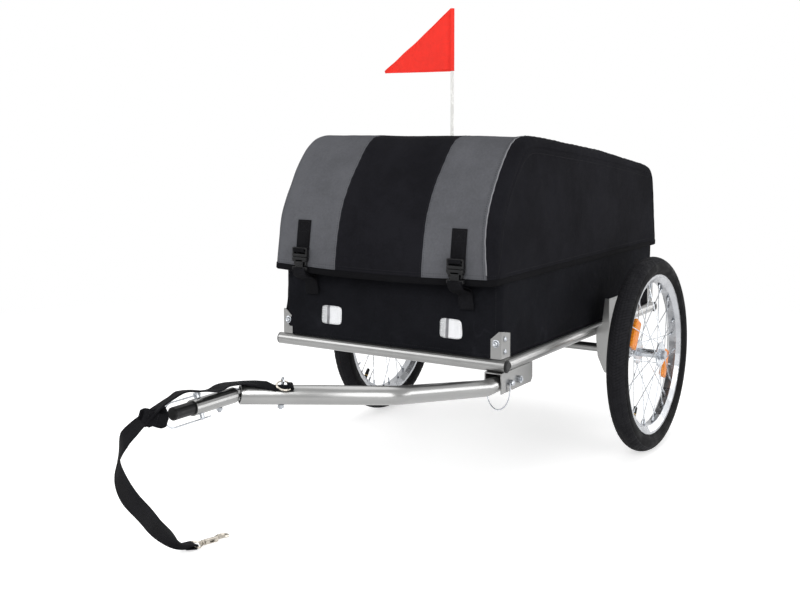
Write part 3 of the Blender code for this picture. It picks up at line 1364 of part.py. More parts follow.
def coupler_bail(hinge, lean):
    """A sprung wire: along through the pin's head, round the rod's end and back past the pin's tip."""
    aside = COUPLER_AIM.cross(lean)
    clear = COUPLER_PIN_R + BAIL_R + TOUCH
    bend_start = COUPLER_BAIL_DEPTH - COUPLER_BAIL_SPAN / 2
    line = [(-BAIL_STUB, 0, 0), (bend_start, 0, 0)]
    for k in range(1, 9):
        angle = math.pi * k / 8
        line.append((bend_start + COUPLER_BAIL_SPAN / 2 * math.sin(angle),
                     -COUPLER_BAIL_SPAN / 2 * (1 - math.cos(angle)), clear * k / 8))
    line.append((-COUPLER_BAIL_TAIL, -COUPLER_BAIL_SPAN, clear))
    path = [hinge + COUPLER_AIM * ahead + lean * rise + aside * off for ahead, rise, off in line]
    return make_object("coupler_bail", rod(path, BAIL_R, sides=8, hint=lean), "zinc")


def pin_axis():
    lean = math.radians(PIN_LEAN)
    return Vector((-math.sin(lean), 0, math.cos(lean)))


# Safety strap and hook

def ribbon(stations):
    """A flat band; each station is its middle, the direction that its face looks in, and its width."""
    bm = bmesh.new()
    loops = []
    last = len(stations) - 1
    for k, (point, face, width) in enumerate(stations):
        before = stations[max(k - 1, 0)][0]
        after = stations[min(k + 1, last)][0]
        along = (after - before).normalized()
        face = (face - along * face.dot(along)).normalized()
        across = along.cross(face)
        half, rise = across * width / 2, face * STRAP_T / 2
        loops.append([bm.verts.new(point + a * half + b * rise)
                      for a, b in ((1, 1), (-1, 1), (-1, -1), (1, -1))])
    for first, second in zip(loops, loops[1:]):
        bridge(bm, first, second)
    bm.faces.new(loops[0])
    bm.faces.new(loops[-1])
    return bm


def fold_round(centre, wire, along, out, face_in, steps=6):
    """Half a turn round a wire, from its far side by way of `along`, as (point, face) pairs."""
    radius = wire + TOUCH + STRAP_T / 2
    turn = []
    for k in range(steps + 1):
        angle = math.pi * (k / steps - 0.5)
        radial = along * math.cos(angle) + out * math.sin(angle)
        turn.append((centre + radial * radius, radial * face_in))
    return turn


def strap_on_bar(back, turn_deg, lift):
    """A point above the bar, turned round it from the top towards its near side."""
    side, up = cross_frame(BAR_AIM)
    angle = math.radians(turn_deg)
    radial = side * math.sin(angle) + up * math.cos(angle)
    return KNUCKLE - BAR_AIM * back + radial * (BAR_R + lift), radial


def safety_strap():
    """From the ring over the knuckle and down to the hook, as one long band."""
    eye, lean, out = ring_frame()
    middle = eye + lean * (RING_R + 0.0020)
    rear_wire = middle - BAR_AIM * RING_R
    stations = []
    tail = middle - BAR_AIM * 0.0045 + out * (RING_WIRE_R + TOUCH + STRAP_T / 2)
    stations.append((tail, -out, STRAP_END_W))
    for point, face in reversed(fold_round(rear_wire, RING_WIRE_R, -BAR_AIM, out, -1.0)):
        stations.append((point, face, STRAP_END_W))
    under = middle - out * (RING_WIRE_R + TOUCH + STRAP_T / 2)
    stations.append((under, out, STRAP_END_W))
    stations.append((under + BAR_AIM * (RING_R + 0.003), out, STRAP_END_W))
    for back, turn_deg, width in ((0.040, 20, 0.019), (0.026, 6, STRAP_W), (0.012, 0, STRAP_W)):
        point, radial = strap_on_bar(back, turn_deg, STRAP_LIFT)
        stations.append((point, radial, width))
    free = [(Vector(p), Vector(face)) for p, face in STRAP_RUN]
    points = smooth_curve([p for p, face in free], per_span=2)
    for k, point in enumerate(points):
        first = free[k // 2][1]
        second = free[min(k // 2 + 1, len(free) - 1)][1]
        stations.append((point, first.lerp(second, 0.5) if k % 2 else first, STRAP_W))
    across, along = hook_frame()
    bar = HOOK_AT
    for point, face in reversed(fold_round(bar, HOOK_WIRE_R, along, UP, -1.0)):
        stations.append((point, face, STRAP_W))
    stations.append((bar - along * 0.018 + UP * 0.0005, UP, STRAP_W))
    piece = make_object("safety_strap", ribbon(stations), "webbing")
    attach(piece, "towbar")


def hook_frame():
    turn = math.radians(HOOK_TURN)
    along = Vector((math.sin(turn), math.cos(turn), 0))
    return along.cross(UP), along


def hook_point(s, across=0.0, height=0.0):
    side, along = hook_frame()
    return HOOK_AT + along * s + side * across + UP * height


def strap_eye():
    """The D-shaped wire that holds the strap, with the hook's swivel ring at its front."""
    path = [hook_point(0, -HOOK_BAR_HALF * 0.4), hook_point(0, -HOOK_BAR_HALF), hook_point(0.0045, -HOOK_BAR_HALF),
            hook_point(SWIVEL_AT + SWIVEL_T * 0.5, -SWIVEL_R)]
    other = [hook_point(0, HOOK_BAR_HALF * 0.4), hook_point(0, HOOK_BAR_HALF), hook_point(0.0045, HOOK_BAR_HALF),
             hook_point(SWIVEL_AT + SWIVEL_T * 0.5, SWIVEL_R)]
    path = list(reversed(path)) + other
    side, along = hook_frame()
    bore = running_bore(NECK_R, 16)
    ring = turned([(SWIVEL_AT, bore), (SWIVEL_AT, SWIVEL_R), (SWIVEL_AT + SWIVEL_T, SWIVEL_R),
                   (SWIVEL_AT + SWIVEL_T, bore)], segments=16, axis=along, centre=HOOK_AT)
    piece = make_object("strap_eye", ring, "zinc")
    weld(piece, rod(path, HOOK_WIRE_R, sides=8))
    attach(piece, "towbar")


def snap_hook():
    """A swivelling hook: a headed neck, a bored barrel and a claw that faces the bolt."""
    side, along = hook_frame()
    profile = [(SWIVEL_AT - 0.0030, 0), (SWIVEL_AT - 0.0030, NECK_R + 0.0012), (SWIVEL_AT - TOUCH, NECK_R + 0.0012),
               (SWIVEL_AT - TOUCH, NECK_R), (BARREL_AT - 0.001, NECK_R), (BARREL_AT, BARREL_HOOK_R),
               (BARREL_END, BARREL_HOOK_R), (BARREL_END, BOLT_SHAFT_R + TOUCH), (BORE_AT, BOLT_SHAFT_R + TOUCH),
               (BORE_AT, 0)]
    piece = make_object("snap_hook", turned(profile, segments=16, axis=along, centre=HOOK_AT), "zinc")
    claw = [(0.0400, -0.0032), (0.0445, -0.0075), (0.0500, -0.0105), (0.0565, -0.0108), (0.0620, -0.0082),
            (0.0648, -0.0040), (0.0640, -0.0004), (0.0605, 0.0004), (0.0576, 0.0002)]
    radii = (0.0012, 0.0024, 0.0026, 0.0026, 0.0026, 0.0025, 0.0024, 0.0022, 0.0018)
    weld(piece, rod([hook_point(s, a) for s, a in claw], 0.0024, sides=8, radii=radii))
    slot_r = 0.0013 + TOUCH
    slot = [(KNOB_AT - KNOB_TRAVEL - slot_r, -slot_r), (KNOB_AT + slot_r, -slot_r), (KNOB_AT + slot_r, slot_r),
            (KNOB_AT - KNOB_TRAVEL - slot_r, slot_r)]
    cut(piece, slab(slot, 0.0080, lambda u, v, w: hook_point(u, 0.0005 + w, v)))
    attach(piece, "snap_hook")
    profile = [(0.0300, 0), (0.0300, BOLT_SHAFT_R), (BOLT_TIP, BOLT_SHAFT_R), (BOLT_TIP, 0)]
    bolt = make_object("snap_bolt", turned(profile, segments=12, axis=along, centre=HOOK_AT), "zinc")
    weld(bolt, rod([hook_point(KNOB_AT, 0.0004), hook_point(KNOB_AT, 0.0078)], 0.0013, sides=8))
    attach(bolt, "snap_bolt")


# Build

def build():
    clear_scene()
    add_body("chassis", (0, 0, 0))
    BODIES["chassis"][0].name = "trailer"
    BODIES["chassis"][0].location = -ORIGIN
    for name, side in (("left", 1), ("right", -1)):
        add_body("wheel_" + name, (side * WHEEL_X, 0, AXLE_Z), "chassis")
        build_wheel(name, side)
        build_axle(name, side)
        wheel_bracket(name, side)
        side_tube("side_tube_" + name, side)
        for place, y in (("front", FRONT_Y), ("rear", REAR_Y)):
            end_cap(f"end_cap_{place}_{name}", side, y)
            corner_bracket(f"{place}_{name}", side, place == "front")
    cross_tube("front_tube", FRONT_Y)
    cross_tube("rear_tube", REAR_Y)
    axle_tube()
    board_top = floor_board()
    tub_fabric()
    hoop_z = tub_frame(board_top)

    add_body("cover", (0, *hinge_axis()), "chassis")
    cover_fabric()
    cover_frame(hoop_z)
    for name, side in (("left", 1), ("right", -1)):
        upper_strap(name, side)
        buckle_plug(name, side)
        buckle_socket(name, side)
        hinge_clip(name, side)

    add_body("flag", (POLE_X, POLE_Y, FRAME_Z), "chassis")
    foot = flag_socket()
    flag_pole(foot)
    flag()

    add_body("towbar", (BAR_X, -PIVOT_AT, BAR_Z), "chassis")
    x0, x1 = towbar_bracket()
    pivot_bolt(x0, x1)
    towbar_tube()
    knuckle_pin()
    ring_bolt()
    d_ring()
    bracket_pin(x1)

    add_body("coupler", KNUCKLE, "towbar")
    coupler()

    safety_strap()
    strap_eye()
    add_body("snap_hook", HOOK_AT, "towbar")
    add_body("snap_bolt", HOOK_AT, "snap_hook")
    snap_hook()


build()
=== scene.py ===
import json
import math

import bmesh
import bpy
from mathutils import Matrix, Vector, noise


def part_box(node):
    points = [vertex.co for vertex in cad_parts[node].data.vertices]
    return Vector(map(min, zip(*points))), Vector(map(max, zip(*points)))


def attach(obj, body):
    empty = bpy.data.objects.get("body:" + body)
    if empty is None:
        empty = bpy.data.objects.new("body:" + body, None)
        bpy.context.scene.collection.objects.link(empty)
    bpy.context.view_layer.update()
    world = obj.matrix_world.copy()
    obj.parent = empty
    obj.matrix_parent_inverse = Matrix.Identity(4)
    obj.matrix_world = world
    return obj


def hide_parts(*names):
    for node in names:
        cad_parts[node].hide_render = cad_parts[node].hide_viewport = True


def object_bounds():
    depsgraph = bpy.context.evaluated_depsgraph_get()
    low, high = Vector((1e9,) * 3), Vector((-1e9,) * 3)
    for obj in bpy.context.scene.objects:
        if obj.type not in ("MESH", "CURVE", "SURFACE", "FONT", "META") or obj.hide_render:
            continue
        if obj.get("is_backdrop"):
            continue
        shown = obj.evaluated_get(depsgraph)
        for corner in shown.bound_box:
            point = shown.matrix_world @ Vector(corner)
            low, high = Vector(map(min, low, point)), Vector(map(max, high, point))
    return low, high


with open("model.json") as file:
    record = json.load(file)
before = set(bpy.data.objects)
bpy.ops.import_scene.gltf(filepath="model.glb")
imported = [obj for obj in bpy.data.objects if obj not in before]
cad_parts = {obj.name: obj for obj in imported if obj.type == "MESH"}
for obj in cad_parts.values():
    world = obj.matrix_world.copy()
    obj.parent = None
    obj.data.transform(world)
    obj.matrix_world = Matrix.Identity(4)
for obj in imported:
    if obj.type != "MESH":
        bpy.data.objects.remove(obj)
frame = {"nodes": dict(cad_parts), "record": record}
cad_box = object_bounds()

# Sizes and places, in metres. The wheel axle's line is y = 0 and the ground z = 0 while a piece is
# made; settle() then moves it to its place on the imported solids.

UP = Vector((0, 0, 1))
AHEAD = Vector((0, -1, 0))
ACROSS = Vector((1, 0, 0))
BACK = Vector((0, 1, 0))
TURN = 2 * math.pi
SAME_SPOT = 0.00001
CURVE_STEPS = 5

WHEELS = {name: sum(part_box("tyre_" + name), Vector()) / 2 for name in ("left", "right")}
SHIFT = Vector(((WHEELS["left"].x + WHEELS["right"].x) / 2, WHEELS["left"].y, 0.0))

SIDES = (("left", 1), ("right", -1))

# What cloth pieces ride on, and their slot

HOOD = ("cover", "cover_cloth")
TUB = ("chassis", "black_fabric")
FLAG = ("flag", "red_fabric")

# Stitches, as pitch, length and width

LONG_STITCH = (0.0044, 0.0032, 0.0011)
FINE_STITCH = (0.0030, 0.0022, 0.0007)
PATCH_STITCH = (0.0034, 0.0022, 0.0006)
FLAG_STITCH = (0.0036, 0.0026, 0.0006)
STITCH_SUNK = 0.0002
STITCH_RISE = 0.45
SQUARE = ((-1, -1), (1, -1), (1, 1), (-1, 1), (-1, -1))

# Towbar, safety strap and hook

BAR_R = 0.014
SECOND_BEND = Vector((0.2257, -0.815, 0.2688))
KNUCKLE = Vector((0.074, -1.002, 0.2895))
BAR_AIM = (KNUCKLE - SECOND_BEND).normalized()
BAR_X = 0.2257
BAR_Z = 0.2225
BAR_MOUTH = 0.5140
FIRST_BEND = 0.5350
TUBE_END_GAP = 0.0058
BEND_STEPS = 12
BAR_SIDES = 48

RING_BACK = 0.066
RING_R = 0.0105
RING_WIRE_R = 0.0014
EYE_HEIGHT = 0.0199

STRAP_W = 0.025
STRAP_T = 0.0018
STRAP_END_W = 0.012
STRAP_LIFT = 0.0023
FOLD_GAP = 0.0003
STRAP_RUN = (  # x, y, z, then the way that the strap faces
    (0.0790, -1.0000, 0.3058, 0.00, 0.14, 0.99),
    (0.0800, -1.0213, 0.3089, 0.00, 0.11, 0.99),
    (0.0830, -1.0413, 0.3105, -0.03, -0.02, 1.00),
    (0.0870, -1.0600, 0.3092, -0.05, -0.01, 1.00),
    (0.0900, -1.0792, 0.3118, -0.08, 0.18, 0.98),
    (0.0925, -1.0956, 0.3162, -0.08, 0.24, 0.97),
    (0.0955, -1.1178, 0.3205, -0.05, 0.18, 0.98),
    (0.0960, -1.1360, 0.3230, -0.17, -0.07, 0.98),
    (0.0925, -1.1500, 0.3176, -0.31, -0.34, 0.89),
    (0.0850, -1.1605, 0.3098, -0.37, -0.48, 0.80),
    (0.0740, -1.1680, 0.2984, -0.37, -0.66, 0.65),
    (0.0501, -1.1725, 0.2777, -0.21, -0.91, 0.37),
    (0.0311, -1.1738, 0.2593, -0.27, -0.96, 0.06),
    (0.0112, -1.1643, 0.2337, -0.66, -0.73, 0.15),
    (-0.0048, -1.1524, 0.2076, -0.84, -0.52, 0.16),
    (-0.0214, -1.1292, 0.1777, -0.93, -0.24, 0.29),
    (-0.0397, -1.0955, 0.1435, -0.90, 0.01, 0.43),
    (-0.0550, -1.0542, 0.1065, -0.87, 0.05, 0.50),
    (-0.0790, -1.0067, 0.0661, -0.90, -0.07, 0.43),
    (-0.0972, -0.9611, 0.0324, -0.93, -0.35, -0.10),
    (-0.1000, -0.9360, 0.0150, -0.48, -0.47, -0.74),
    (-0.1000, -0.9230, 0.0098, 0.00, -0.37, -0.93),
)
KEEPER_AT = Vector((0.0776, -1.1657, 0.2941))
KEEPER_LOOPS = ((24.0, 0.0175, 0.0200, -0.0030), (-17.0, 0.0185, 0.0190, 0.0042))
HOOK_AT = Vector((-0.0990, -0.9080, 0.0048))
HOOK_TURN = 18.0
HOOK_WIRE_R = 0.0016
KEEPER_STEPS = 48

# A band's section, in shares of its half width and half thickness

BAND_RIM = ((1, 0.35), (0.94, 1), (0.3, 0.8), (-0.3, 0.8), (-0.94, 1), (-1, 0.35),
            (-1, -0.35), (-0.94, -1), (-0.3, -0.8), (0.3, -0.8), (0.94, -1), (1, -0.35))

# Hood: the front's outline at its edge and at its middle, then the top, as (y, z)

COVER_HALF_W = 0.2380
COVER_EDGE_R = 0.020
COVER_FRONT = (
    (-0.5278, 0.3970), (-0.5272, 0.4200), (-0.5246, 0.4500), (-0.5220, 0.4750), (-0.5185, 0.5000),
    (-0.5122, 0.5200), (-0.5010, 0.5440), (-0.4809, 0.5758), (-0.4621, 0.6013), (-0.4393, 0.6271),
    (-0.4237, 0.6392),
)
COVER_FRONT_MIDDLE = (
    (-0.5385, 0.3970), (-0.5356, 0.4300), (-0.5322, 0.4500), (-0.5280, 0.4700), (-0.5202, 0.5000),
    (-0.5105, 0.5250), (-0.4965, 0.5500), (-0.4793, 0.5750), (-0.4580, 0.6000), (-0.4365, 0.6250),
    (-0.4205, 0.6385),
)
COVER_TOP = (
    (-0.4039, 0.6475), (-0.3750, 0.6512), (-0.3300, 0.6480), (-0.2500, 0.6400), (-0.1240, 0.6275),
    (0.0000, 0.6130), (0.0964, 0.6010), (0.1716, 0.5900), (0.2220, 0.5830), (0.2500, 0.5750),
    (0.2645, 0.5560), (0.2705, 0.5250), (0.2750, 0.4850), (0.2792, 0.4400), (0.2835, 0.3970),
)
CLOTH_T = 0.0012
HEM_Z = 0.3970
HEM_SAG = 0.0052
BINDING_H = 0.0108
STITCH_ABOVE_HEM = 0.0175
SEAM_LEFT = -0.2345
SEAM_RIGHT = 0.2180
STRIPE_LEFT = -0.0890
STRIPE_RIGHT = 0.0970
TOP_FRONT = -0.400
TOP_REAR = 0.240
COVER_ROWS = 190
COLUMN_W = 0.0055
SEAM_GAP = 0.0012
EDGE_STEPS = 10
HEM_ROWS_APART = 0.75
SIDE_STEPS = 30
HEM_STEPS = 150
TWIN_SEAM = 0.003
RIGHT_STITCH = SEAM_RIGHT - 0.005
PIPING_R = 0.0012

# Tub and its reflective patches

TUB_HALF_W = 0.2355
TUB_FRONT = 0.4975
TUB_REAR = 0.2620
TUB_TOP = 0.4200
TUB_FOOT = 0.2642
TUB_CORNER_R = 0.012
PATCH_RIGHT_X = -0.1240
PATCH_LEFT_X = 0.1375
PATCH_Z = 0.311
PATCH_W = 0.046
PATCH_H = 0.035
PATCH_T = 0.0006
TUB_LEVELS = 40
TUB_CLOTH_T = 0.0015

# Long creases in the tub's wall: where from and where to, as (along the wall, z), width and rise

TUB_CREASES = (
    ((-0.225, 0.285), (-0.120, 0.372), 0.010, 0.0026),
    ((-0.215, 0.275), (-0.060, 0.300), 0.012, 0.0018),
    ((0.225, 0.285), (0.110, 0.360), 0.010, 0.0026),
    ((0.205, 0.275), (0.040, 0.310), 0.012, 0.0018),
    ((-0.168, 0.352), (-0.150, 0.292), 0.006, 0.0016),
    ((0.168, 0.352), (0.150, 0.292), 0.006, 0.0016),
    ((-0.030, 0.385), (0.060, 0.330), 0.011, 0.0014),
    ((0.040, 0.275), (-0.080, 0.345), 0.013, -0.0016),
)

# Buckles and their webbing

BUCKLE_X = 0.168
BUCKLE_W = 0.034
BUCKLE_FACE_Y = -0.5325
BUCKLE_T = 0.0095
BUCKLE_BOTTOM = 0.398
BUCKLE_SPLIT = 0.4225
BUCKLE_TOP = 0.441
UPPER_STRAP_TOP = 0.492
LOWER_STRAP_END = 0.353
WEBBING_W = 0.030
WEBBING_T = 0.0015
HOOD_CLEAR = 0.0011
WALL_CLEAR = 0.0042
THREAD_CLEAR = 0.0001
BUCKLE_ARM = ((0.0072, 0.003), (0.0090, -0.004), (0.0118, -0.009), (0.0128, -0.0125),
              (0.0098, -0.0160))

# Wheels

TYRE_R = 0.200
TYRE_HALF_W = 0.0215
BEAD_R = 0.1645
BEAD_HALF_W = 0.0150
RIM_INNER_R = 0.1480
FLANGE_SPAN = 0.047
SPOKES_PER_SIDE = 14
SPOKE_CIRCLE_R = 0.0215
SPOKE_STAGGER = 0.0016
REFLECTOR_L = 0.060
REFLECTOR_W = 0.026
REFLECTOR_AT_R = 0.100
REFLECTOR_ANGLES = (148.0, 338.0)
VALVE_ANGLE = 232.0
VALVE_SEAT = 0.0015
TREAD_KNOBS = 84
KNOB_STEPS = 5
KNOB_CUT = 0.0010
TYRE_STEPS = 64
NIPPLE = ((-0.0115, 0.0), (-0.0115, 0.0016), (-0.0108, 0.0020), (-0.0060, 0.0020),
          (-0.0050, 0.0024), (0.0010, 0.0025), (0.0010, 0.0))
VALVE_STEM = ((0.0, 0.0), (0.0, 0.0062), (0.0022, 0.0062), (0.0032, 0.0044), (0.0095, 0.0040),
              (0.0100, 0.0037), (0.0100, 0.0))
VALVE_COLLAR = ((0.0098, 0.0), (0.0098, 0.0039), (0.0122, 0.0039), (0.0122, 0.0))
VALVE_CAP = ((0.0120, 0.0), (0.0120, 0.0042), (0.0132, 0.0043), (0.0250, 0.0038),
             (0.0272, 0.0030), (0.0276, 0.0))

# Flag

POLE_X = sum(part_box("flag_pole"), Vector()).x / 2 - SHIFT.x
POLE_R = 0.004
POLE_TOP = 0.962
POLE_Y = 0.196
FLAG_W = 0.195
FLAG_H = 0.154
FLAG_T = 0.0006
FLAG_TIP_H = 0.004

# Camera, floor and room

CAMERA_AT = Vector((1.09059, -2.17218, 0.66775))
CAMERA_YAW = 32.3606
CAMERA_PITCH = 3.0255
CAMERA_FOCUS_PX = 1094.52
CAMERA_RISE_PX = 115.24
PHOTO_W_PX = 800
SENSOR_MM = 36.0
WHITE = (1.0, 1.0, 1.0)
ROOM_LIGHT = 0.36
FLOOR_LIGHT = 0.56

# Lamps: place, what it is turned to, size and power

LAMPS = (
    ("key_lamp", (0.7, -3.2, 1.7), (0, -0.4, 0.3), (1.3, 1.3), 42),
    ("fill_lamp", (-2.2, -2.6, 1.8), (0, -0.4, 0.3), (1.8, 1.8), 28),
    ("side_lamp", (2.5, 1.1, 0.45), (0.1, -0.8, 0.26), (1.3, 0.7), 10),
    ("bar_lamp", (2.5, -1.75, 1.02), (0.15, -0.9, 0.60), (1.4, 1.9), 36),
    ("rear_lamp", (2.3, 3.2, 0.70), (0.2257, -0.65, 0.25), (1.8, 1.2), 26),
    ("top_lamp", (0.0, 0.4, 3.0), (0, -0.2, 0.3), (2.4, 2.4), 26),
)


# Finishes

def sums(operation, swapped=False):
    """An operator that adds one Math node for itself."""
    def operator(self, other):
        return self._math(operation, *((other, self) if swapped else (self, other)))
    return operator


class Shade:
    """One socket of a node tree; sums on it add Math nodes."""

    def __init__(self, nodes, socket):
        self.nodes = nodes
        self.socket = socket

    def _math(self, operation, *values):
        return self.nodes.node("ShaderNodeMath", {"operation": operation}, values)

    __add__, __radd__ = sums("ADD"), sums("ADD", swapped=True)
    __sub__, __rsub__ = sums("SUBTRACT"), sums("SUBTRACT", swapped=True)
    __mul__, __rmul__ = sums("MULTIPLY"), sums("MULTIPLY", swapped=True)

    def __abs__(self):
        return self._math("ABSOLUTE", self)


class Nodes:
    """The node tree of a finish or of the room."""

    def __init__(self, tree):
        self.tree = tree

    def give(self, socket, value):
        if isinstance(value, Shade):
            self.tree.links.new(value.socket, socket)
        else:
            socket.default_value = (*value, 1.0) if socket.type == "RGBA" else value

    def node(self, kind, settings=None, inputs=(), output=0):
        """A new node: its settings first, then the values or links of its sockets."""
        made = self.tree.nodes.new(kind)
        for setting, value in (settings or {}).items():
            setattr(made, setting, value)
        for key, value in inputs.items() if isinstance(inputs, dict) else enumerate(inputs):
            self.give(made.inputs[key], value)
        return Shade(self, made.outputs[output])

    def here(self):
        return self.node("ShaderNodeTexCoord", output="Object")

    def stretched(self, x, y, z):
        """Object coordinates drawn out, for grain that runs one way."""
        return self.node("ShaderNodeVectorMath", {"operation": "MULTIPLY"},
                         (self.here(), (x, y, z)))

    def on_cloth(self):
        """The mesh's own record of each point's place on the cloth."""
        return self.node("ShaderNodeAttribute", {"attribute_name": "weave"}, output="Vector")

    def parts(self, vector):
        split = self.node("ShaderNodeSeparateXYZ", {}, (vector,))
        return [Shade(self, output) for output in split.socket.node.outputs]

    def weave(self):
        """Distance along the cloth and distance across it."""
        return self.parts(self.on_cloth())[:2]

    def grain(self, scale, detail=2.0, vector=None, distortion=0.0):
        """Noise from 0 to 1, with so many waves to the metre."""
        return self.node("ShaderNodeTexNoise", {}, {"Vector": vector or self.here(), "Scale": scale,
                                                    "Detail": detail, "Distortion": distortion})

    def cells(self, scale, vector=None, feature="F1", output="Distance"):
        return self.node("ShaderNodeTexVoronoi", {"feature": feature},
                         {"Vector": vector or self.here(), "Scale": scale}, output)

    def level(self, value, low, high, to_low=0.0, to_high=1.0):
        return self.node("ShaderNodeMapRange", {"interpolation_type": "SMOOTHSTEP"},
                         {"Value": value, "From Min": low, "From Max": high, "To Min": to_low,
                          "To Max": to_high})

    def wave(self, value, period):
        return self.node("ShaderNodeMath", {"operation": "SINE"}, (value * (TURN / period),))

    def bump(self, height, distance, strength=1.0, under=None):
        """Bump from a height; a second bump goes on top of the one under it."""
        inputs = {"Height": height, "Distance": distance, "Strength": strength}
        if under:
            inputs["Normal"] = under
        return self.node("ShaderNodeBump", {}, inputs)

    def seen(self):
        """1 for what is looked at, straight or in a mirror or glass, and 0 for light on things."""
        rays = [self.node("ShaderNodeLightPath", output=kind)
                for kind in ("Is Camera Ray", "Is Glossy Ray", "Is Transmission Ray")]
        most = self.node("ShaderNodeMath", {"operation": "MAXIMUM"}, rays[:2])
        return self.node("ShaderNodeMath", {"operation": "MAXIMUM"}, (most, rays[2]))


class Finish(Nodes):
    """The node tree of one finish, on a Principled shader."""

    def __init__(self, name, colour, roughness, metallic=0.0, **sockets):
        self.material = bpy.data.materials.new(name)
        self.material.use_nodes = True
        self.material.diffuse_color = (*colour, 1.0)
        super().__init__(self.material.node_tree)
        self.shader = self.tree.nodes["Principled BSDF"]
        self.colour = colour
        self.set(Base_Color=colour, Roughness=roughness, Metallic=metallic, **sockets)

    def set(self, **sockets):
        for name, value in sockets.items():
            self.give(self.shader.inputs[name.replace("_", " ")], value)
        return self.material

    def tint(self, factor, *ends):
        """A colour between two, by factor; a number stands for the finish's colour times it."""
        first, second = (tuple(channel * end for channel in self.colour) if isinstance(end, float)
                         else end for end in ends)
        return self.node("ShaderNodeMix", {"data_type": "RGBA"},
                         {0: factor, 6: first, 7: second}, 2)

    def look(self, bump, tone, roughness):
        """The material, with what bump(), tint(level()) and level() take for its three looks."""
        colour = self.tint(self.level(*tone[:3]), *tone[3:]) if len(tone) > 3 else self.tint(*tone)
        return self.set(Normal=self.bump(*bump), Base_Color=colour,
                        Roughness=self.level(*roughness))


def woven(name, colour, period=0.0011, creases=0.5, light=1.35, painted_ridge_highlight=0.0):
    """Coated polyester cloth: crossing threads, slubs, small creases and a little dust; painted
    shade in the creases' hollows, painted highlight on their rises, and, where a share of it is
    given, thin lines of painted highlight along crease ridges.
    """
    finish = Finish(name, colour, 0.88, Specular_IOR_Level=0.03)
    along, across = finish.weave()
    threads = finish.wave(along, period) * finish.wave(across, period)
    slub = finish.grain(260.0)
    crease = finish.grain(34.0, 4.0, distortion=0.8)
    cloud = finish.grain(7.0, 3.0)
    broad = finish.bump(crease, 0.0036 * creases, 0.8)
    # Painted shade and highlight: the share of the tone that follows the crease noise darkens the
    # creases' hollows and lightens their rises; the cloud and slubs are random tone.
    tone = cloud * 0.55 + slub * 0.25 + crease * 0.2, 0.36, 0.62, 0.86, light
    if painted_ridge_highlight:
        # Painted highlight: thin lines along the ridges of a drawn-out noise are made lighter, as
        # if light caught the folds there.
        fold = finish.grain(9.0, 3.0, finish.stretched(1.0, 1.0, 0.45), 0.6)
        ridge = finish.level(abs(fold - 0.5), 0.020, 0.0) * finish.level(cloud, 0.45, 0.62)
        tone = ridge * painted_ridge_highlight, finish.tint(finish.level(*tone[:3]), *tone[3:]), 2.2
    return finish.look(bump=(threads * 0.5 + slub * 0.8, 0.00022, 0.6, broad), tone=tone,
                       roughness=(slub, 0.3, 0.7, 0.80, 0.94))


def ribbed_webbing(name, colour):
    """Polypropylene webbing: ribs that run across its width in a fine herringbone."""
    finish = Finish(name, colour, 0.7, Specular_IOR_Level=0.05)
    along, across = finish.weave()
    ribs = finish.wave(along + abs(finish.wave(across, 0.0062)) * 0.0009, 0.0017)
    edges = finish.level(abs(across), 0.0106, 0.0122)
    slub = finish.grain(420.0)
    wear = slub * 0.5 + finish.grain(24.0, 3.0) * 0.5
    return finish.look(bump=(ribs * 0.7 + slub * 0.5 - edges * 0.4, 0.0003, 0.7),
                       tone=(wear, 0.36, 0.66, 0.8, 1.6), roughness=(ribs, -1.0, 1.0, 0.78, 0.62))


def moulded(name, colour, roughness):
    """Moulded plastic with a spark-eroded grain and rubbed spots."""
    finish = Finish(name, colour, roughness, Specular_IOR_Level=0.20)
    fine = finish.grain(900.0)
    rubbed = finish.level(finish.grain(46.0, 4.0), 0.45, 0.68)
    return finish.look(bump=(fine, 0.00012, 0.5), tone=(rubbed, 1.0, 1.5),
                       roughness=(rubbed * 0.6 + fine * 0.4, 0.1, 0.8,
                                  roughness + 0.06, roughness - 0.1))


def painted_metal(name, colour, metallic, roughness):
    """Silver powder coat: orange peel, fine flakes, faint smears and a few rubbed places."""
    finish = Finish(name, colour, roughness, metallic, Coat_Weight=0.06, Coat_Roughness=0.3)
    peel = finish.grain(420.0)
    shine = finish.parts(finish.cells(1500.0, output="Color"))[0]
    smear = finish.grain(15.0, 4.0, finish.stretched(1.0, 0.35, 1.0))
    rubbed = finish.level(finish.grain(60.0, 5.0), 0.60, 0.72)
    return finish.look(bump=(peel, 0.00004, 0.15),
                       tone=(shine * 0.1 + smear * 0.9, 0.25, 0.75, 0.93, 1.07),
                       roughness=(smear * 0.8 + rubbed * 0.2, 0.2, 0.8,
                                  roughness - 0.03, roughness + 0.05))


def plated(name, colour, roughness):
    """Bright zinc plating: clouded blue-white tone, fine scratches and dull spots."""
    finish = Finish(name, colour, roughness, 1.0)
    cloud = finish.grain(120.0, 4.0)
    scratches = finish.grain(90.0, 3.0, finish.stretched(1.0, 1.0, 14.0))
    return finish.look(bump=(cloud * 0.4 + scratches * 0.6, 0.00008, 0.4),
                       tone=(cloud, 0.35, 0.65, 0.80, 1.0),
                       roughness=(cloud * 0.5 + scratches * 0.5, 0.3, 0.7,
                                  roughness - 0.06, roughness + 0.14))


def polished_alloy(name, colour):
    """Polished rim alloy with turning marks, haze and road film in patches."""
    finish = Finish(name, colour, 0.26, 1.0)
    haze = finish.grain(28.0, 4.0)
    marks = finish.grain(700.0)
    return finish.look(bump=(marks, 0.00004, 0.35), tone=(haze, 0.40, 0.66, 1.0, 0.82),
                       roughness=(haze * 0.7 + marks * 0.3, 0.3, 0.7, 0.19, 0.34))


